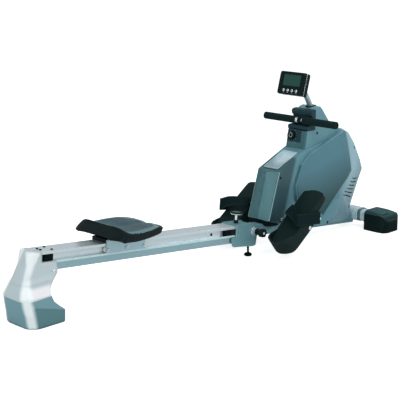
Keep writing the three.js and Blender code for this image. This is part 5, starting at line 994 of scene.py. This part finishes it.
rings = []
for x, top, bottom in SHROUD_SHADOW_BAND:
    section = ((-SHADOW_BAND_HALF, bottom + SHADOW_BAND_EASE), (SHADOW_BAND_EASE - SHADOW_BAND_HALF, bottom),
               (SHADOW_BAND_HALF - SHADOW_BAND_EASE, bottom), (SHADOW_BAND_HALF, bottom + SHADOW_BAND_EASE), (SHADOW_BAND_HALF, top),
               (-SHADOW_BAND_HALF, top))
    rings.append([point(x, y, z) for y, z in section])
# Painted shadow: a dark band filling the gap under the shroud.
dressed(skin_of("shroud_shadow_band", rings), "dark_trim_and_shade", "base")


def edge_line(name, points, radius, look, lift=(0, 0, 1)):
    """A thin bead on the housing through points in millimetres; here each is a painted highlight, save one
    painted shadow.
    """
    path = catmull([point(*p) for p in points], 6)
    return dressed(tube_along(name, path, radius, False, 0.7, [Vector(lift)] * len(path)), look, "base")


# Painted highlights along the shroud's edges and the tray, and a painted shadow under the tray's lip.
for side, word in SIDES:
    y = side * 64.2
    edge_line(f"shroud_edge_highlight_{word}", ((285.9, y, 163), (308.5, y, 235), (331, y, 307.5), (353.6, y, 379.5)),
              0.0009, "highlight_bead", (-0.65, side * 0.76, 0))
    y = side * 43.2
    edge_line(f"tray_side_highlight_{word}", ((373, y, 394.4), (436, y, 420.4), (497, y, 445.6)), 0.0008, "highlight_bead")
edge_line("tray_fold_highlight", ((388, -26, 382.2), (440, -26, 403.8), (494, -26, 426.3)), 0.0009, "highlight_bead")
edge_line("tray_lip_highlight", ((368.4, -38, 393), (368.4, 0, 393), (368.4, 38, 393)), 0.0014, "highlight_bead")
edge_line("tray_shadow", ((361.2, -36, 386.4), (361.2, 0, 386.4), (361.2, 36, 386.4)), 0.0014, "dark_trim_and_shade")


# Vents: six dark slots down the housing's front band, each laid where the photograph shows it

VENT_PIXELS = (
    ((352.6, 177.8), (357.7, 179.7)), ((350.4, 181.2), (356.8, 183.6)), ((349.0, 184.6), (354.9, 186.7)),
    ((347.0, 188.1), (354.0, 190.6)), ((344.8, 191.0), (352.8, 194.1)), ((343.0, 194.8), (351.4, 197.8)),
)
VENT_STEPS = 8
LONGEST_STEP = 0.02
VENT_RADIUS = 0.0022
VENT_FLATNESS = 0.22


def through(x, y):
    """The direction from the camera through a pixel of the photograph."""
    spread = SENSOR / LENS
    local = Vector(((x / PHOTO_SIZE - 0.5) * spread, (0.5 - y / PHOTO_SIZE) * spread, -1))
    return (camera.rotation_euler.to_matrix() @ local).normalized()


for i, (start, end) in enumerate(VENT_PIXELS):
    spots, lifts = [], []
    for k in range(VENT_STEPS + 1):
        pixel = [a + (b - a) * k / VENT_STEPS for a, b in zip(start, end)]
        spot, normal = laid(shell_trees[-1], camera.location, through(*pixel))
        if spot is not None and (not spots or (spot - spots[-1]).length < LONGEST_STEP):
            spots.append(spot + normal * 0.0002)
            lifts.append(normal)
    for side, word in SIDES:
        path = [Vector((p.x, -side * p.y, p.z)) for p in spots]
        up = [Vector((n.x, -side * n.y, n.z)) for n in lifts]
        vent = tube_along(f"vent_{word}_{i + 1}", path, VENT_RADIUS, False, VENT_FLATNESS, up)
        dressed(vent, "dark_trim_and_shade", "base")


# Tower's top: a dark oval round the console's arm, a painted shade

SHADE_OVAL_X = 650
SHADE_OVAL_Y = 0.4
SHADE_OVAL_LENGTH = 30
SHADE_OVAL_WIDTH = 23
SHADE_OVAL_STEPS = 28
TOWER_TOP = 0.6482
TOWER_EDGE = 0.640

tower_tree = tree_on("housing_shell_near", "housing_shell_far")
shade_rings = []
for share in (1.0, 0.82, 0.0):
    ring = []
    for k in range(SHADE_OVAL_STEPS):
        a = 2 * math.pi * k / SHADE_OVAL_STEPS
        above = point(SHADE_OVAL_X + SHADE_OVAL_LENGTH * share * math.cos(a),
                      SHADE_OVAL_WIDTH * share * math.sin(a) + SHADE_OVAL_Y, 720)
        spot = laid(tower_tree, above, DOWN)[0]
        z = spot.z if spot is not None and spot.z > TOWER_EDGE else TOWER_TOP
        ring.append(Vector((above.x, above.y, z + (0.0009 if share else 0.0005))))
    shade_rings.append(ring)
shade_rings.insert(0, [p - Vector((0, 0, 0.003)) for p in shade_rings[0]])
# Painted shade: a dark oval round the arm.
dressed(skin_of("arm_shade_oval", shade_rings), "dark_trim_and_shade", "base")


# Caps: a dark crown over the end of the tube under each cap's top

CROWN_X = 966
CROWN_Y = 146
CROWN_STEP = 3.3
CROWN_COLUMNS = 23
CROWN_ROWS = 21
CROWN_GRID = [(i, j) for i in range(CROWN_COLUMNS) for j in range(CROWN_ROWS)]
CROWN_FADE = 3
CROWN_RAISE = 0.0008
CROWN_SINK = 0.0012
CROWN_DEPTH = 0.004
FLOOR_LEVEL = 0.05


def around(i, j, reach):
    """The crown's grid places within reach of one, with those past the rim brought back onto it."""
    for a in range(-reach, reach + 1):
        for b in range(-reach, reach + 1):
            yield min(CROWN_COLUMNS - 1, max(0, i + a)), min(CROWN_ROWS - 1, max(0, j + b))


def crown(side, word):
    cover = tree_on(f"stabiliser_cap_{word}", "front_stabiliser")
    level = {}
    for i, j in CROWN_GRID:
        above = point(CROWN_X + CROWN_STEP * i, side * (CROWN_Y + CROWN_STEP * j), 300)
        spot = laid(cover, above, DOWN)[0]
        level[i, j] = spot.z if spot is not None else FLOOR_LEVEL
    raised = {(i, j): max(level[near] for near in around(i, j, 2)) for i, j in CROWN_GRID}
    for _ in range(4):
        raised = {(i, j): sum(raised[near] for near in around(i, j, 1)) / 9 for i, j in CROWN_GRID}
    rings = []
    for i in range(CROWN_COLUMNS):
        top, foot = [], []
        for j in range(CROWN_ROWS):
            rim = min(i, j, CROWN_COLUMNS - 1 - i, CROWN_ROWS - 1 - j)
            blend = min(1, rim / CROWN_FADE)
            here = point(CROWN_X + CROWN_STEP * i, side * (CROWN_Y + CROWN_STEP * j), 0)
            low = level[i, j]
            z = low + (raised[i, j] + CROWN_RAISE - low) * blend - CROWN_SINK * (1 - blend)
            top.append(here + Vector((0, 0, z)))
            foot.append(here + Vector((0, 0, low - CROWN_DEPTH)))
        rings.append(top + foot[::-1])
    dressed(skin_of(f"cap_crown_{word}", rings), "cap", "base")


for side, word in SIDES:
    crown(side, word)


# Bright strip down the sleeve's rear edge, each side: a painted highlight

STRIP_HEIGHTS = (34, 33, 20, 5, -10, -16, -17)
STRIP_REAR = -121.5
STRIP_FRONT = -116.5
STRIP_TRIM = 1.2

for side, word in SIDES:
    rings = []
    for n in STRIP_HEIGHTS:
        trim = STRIP_TRIM if n in (STRIP_HEIGHTS[0], STRIP_HEIGHTS[-1]) else 0
        a, b = STRIP_REAR + trim, STRIP_FRONT - trim
        y0, y1 = side * 45.1, side * (46.3 - trim * 0.4)
        rings.append([on_rail(a, y0, n), on_rail(b, y0, n), on_rail(b + 0.5, y1, n), on_rail(a - 0.2, y1, n)])
    dressed(skin_of(f"sleeve_edge_highlight_{word}", rings), "silver", "rail_body")


# Lock pin: bright rim under the knob, bright stem, and a grey face on the knob's top that is painted light

LOCK_S = -78
STEM_FOOT = 33.7
KNOB_FOOT = 77.4
KNOB_TOP = 86.4
LOCK_RIM = ((0.0212, -0.0003), (0.0248, -0.0012), (0.0262, -0.0004), (0.0272, 0.0018), (0.0272, 0.0030),
            (0.0262, 0.0032))
LOCK_STEM = ((0.0051, 0.0165), (0.0058, 0.0165), (0.0058, 0.0405), (0.0074, 0.0415), (0.0074, 0.0440),
             (0.0051, 0.0445))
LOCK_FACE = ((0, 0.0004), (0.006, 0.0005), (0.013, 0.0004), (0.0192, 0.0006), (0.0202, 0.0001))

rail_up = (on_rail(0, 0, 1) - on_rail(0, 0, 0)).normalized()
turned("lock_rim", LOCK_RIM, on_rail(LOCK_S, 0, KNOB_FOOT), rail_up, 44, "chrome", "lock_body")
turned("lock_stem", LOCK_STEM, on_rail(LOCK_S, 0, STEM_FOOT), rail_up, 26, "chrome", "lock_body")
turned("lock_face", LOCK_FACE, on_rail(LOCK_S, 0, KNOB_TOP), rail_up, 40, "knob_top_painted_light", "lock_body")


# Hand knob on the hinge: a pale disc let into its face, and a washer on the bright flange

KNOB_DISC_Y = -105
WASHER_Y = -45.35
KNOB_DISC = ((0, 0.0009), (0.0035, 0.0010), (0.0048, 0.0012), (0.0056, 0.0009), (0.0062, 0.0))
WASHER = ((0.0105, 0.0), (0.0200, 0.0), (0.0206, 0.0006), (0.0206, 0.0020), (0.0198, 0.0026),
          (0.0105, 0.0026))

turned("knob_disc", KNOB_DISC, point(HINGE_X, KNOB_DISC_Y, HINGE_Z), -ACROSS, 30, "mark", "hinge_knob_body")
turned("hinge_washer", WASHER, point(HINGE_X, WASHER_Y, HINGE_Z), -ACROSS, 40, "chrome", "base")


# Tension knob: a pale pointer line on the knob, a pale ring on it that is a painted highlight of its rim, and
# plain ticks round it on the panel

KNOB_PLACE = (-1.3, 24, 88.34)
KNOB_RIM_HIGHLIGHT = ((0.0088, 0.0), (0.0092, 0.0006), (0.0101, 0.0006), (0.0105, 0.0))
TICKS = 11
TICK_SWEEP = 150
TICK_REACH = 0.0268
END_TICK_REACH = 0.0262
BAR_SECTIONS = (
    # share of the length, of the width and of the height
    (-0.5, 0.6, 0.0), (-0.5, 0.6, 0.5), (-0.44, 1, 1), (0.44, 1, 1), (0.5, 0.6, 0.5), (0.5, 0.6, 0.0),
)

knob_centre = on_tower(*KNOB_PLACE)
tower_out = (on_tower(-1, 0, 0) - on_tower(0, 0, 0)).normalized()
tower_up = (on_tower(0, 0, 1) - on_tower(0, 0, 0)).normalized()


def plate_bar(name, centre, along, sideways, lift, size, body):
    """A slim raised pale bar with bevelled ends and sides."""
    length, width, height = size
    rings = []
    for u, w, h in BAR_SECTIONS:
        here = centre + along * (length * u)
        half = sideways * (width * 0.5 * w)
        top = lift * (height * h + 1e-5)
        rings.append([here - half, here + half, here + half * 0.7 + top, here - half * 0.7 + top])
    return dressed(skin_of(name, rings), "mark", body)


for i in range(TICKS):
    turn = TICK_SWEEP * (2 * i / (TICKS - 1) - 1)
    a = math.radians(turn)
    spoke = tower_up * math.cos(a) + ACROSS * math.sin(a)
    spin = tower_up * -math.sin(a) + ACROSS * math.cos(a)
    reach = END_TICK_REACH if i in (0, TICKS - 1) else TICK_REACH
    plate_bar(f"knob_tick_{i + 1}", knob_centre - tower_out * 0.0001 + spoke * reach, spoke, spin, tower_out,
              (0.0026, 0.0011, 0.0003), "base")
plate_bar("knob_pointer", knob_centre + tower_out * 0.0133 + tower_up * 0.0118, tower_up, ACROSS, tower_out,
          (0.0062, 0.0020, 0.0005), "tension_knob_body")
# Painted highlight: a pale ring for the light on the knob's rim.
turned("knob_rim_highlight", KNOB_RIM_HIGHLIGHT, knob_centre + tower_out * 0.0116, tower_out, 40, "mark", "tension_knob_body")


# Console: a painted highlight along the seam behind the front bezel, a frame round the screen, dark domes and
# short bars by the buttons

SEAM_SIZE = (76.95, 53.65, 8)
SEAM_DEPTH = -8.5
SCREEN_SIZE = (53.2, 28.2, 2.5)
SCREEN_DEPTH = -18.6
SCREEN_RISE = 14
BUTTON_PITCH = 25
DOME_PLACE = (-20.9, 1.2, -33.4)
BAR_PLACE = (-18.5, 0, -44.2)
BUTTON_DOME = ((0, 0.0006), (0.0014, 0.0005), (0.0024, 0.0003), (0.0028, 0.0))


def rounded_loop(half_width, half_height, corner, steps=6):
    found = []
    for cy, cz, start in ((1, 1, 0), (-1, 1, 90), (-1, -1, 180), (1, -1, 270)):
        for k in range(steps + 1):
            a = math.radians(start + 90 * k / steps)
            found.append((cy * (half_width - corner) + corner * math.cos(a),
                          cz * (half_height - corner) + corner * math.sin(a)))
    return found


console_out = (on_console(-1, 0, 0) - on_console(0, 0, 0)).normalized()
console_up = (on_console(0, 0, 1) - on_console(0, 0, 0)).normalized()
outline = rounded_loop(*SEAM_SIZE)
seam_highlight = [on_console(SEAM_DEPTH, y, z) for y, z in outline]
away = [on_console(0, y, z) - on_console(0, 0, 0) for y, z in outline]
# Painted highlight along the seam behind the front bezel.
dressed(tube_along("bezel_seam_highlight", seam_highlight, 0.0009, True, 0.7, away), "chrome", "console_body")
bezel = [on_console(SCREEN_DEPTH, y, z + SCREEN_RISE) for y, z in rounded_loop(*SCREEN_SIZE, 4)]
dressed(tube_along("screen_frame", bezel, 0.0011, True, 0.6, [console_out] * len(bezel)), "dark_trim_and_shade",
        "console_body")
for i in range(4):
    across = BUTTON_PITCH * (i - 1.5)
    depth, y, height = DOME_PLACE
    turned(f"button_dome_{i + 1}", BUTTON_DOME, on_console(depth, y + across, height), console_out, 22,
           "black", f"button_{i + 1}_body")
    depth, y, height = BAR_PLACE
    plate_bar(f"button_bar_{i + 1}", on_console(depth, y + across, height), ACROSS, console_up, console_out,
              (0.0085, 0.0013, 0.0003), "console_body")


# Stabiliser: a dark and a bright ring outside each saddle ring

TUBE_X = 998
TUBE_Z = 65
TUBE_SECTION = (34, 29, 16)
TUBE_RINGS = (
    # name, inner end, outer end, height over the tube and look
    ("seal", 63.2, 67.4, 1.3, "dark_trim_and_shade"),
    ("band", 67.8, 74.6, 1.9, "paint"),
    ("edge", 75.0, 77.4, 1.1, "dark_trim_and_shade"),
)
RING_SHARES = ((0, 0), (0, 0.7), (0.18, 1), (0.82, 1), (1, 0.7), (1, 0))
RING_SINK = 0.05

for side, word in SIDES:
    for name, inner, outer, proud, look in TUBE_RINGS:
        rings = []
        for share, lift in RING_SHARES:
            y = side * (inner + (outer - inner) * share)
            grow = proud * lift if lift else -RING_SINK
            loop = rounded_loop(*(size + grow for size in TUBE_SECTION))
            rings.append([point(TUBE_X + a, y, TUBE_Z + b) for a, b in loop])
        dressed(skin_of(f"tube_{name}_{word}", rings, False, 40), look, "base")
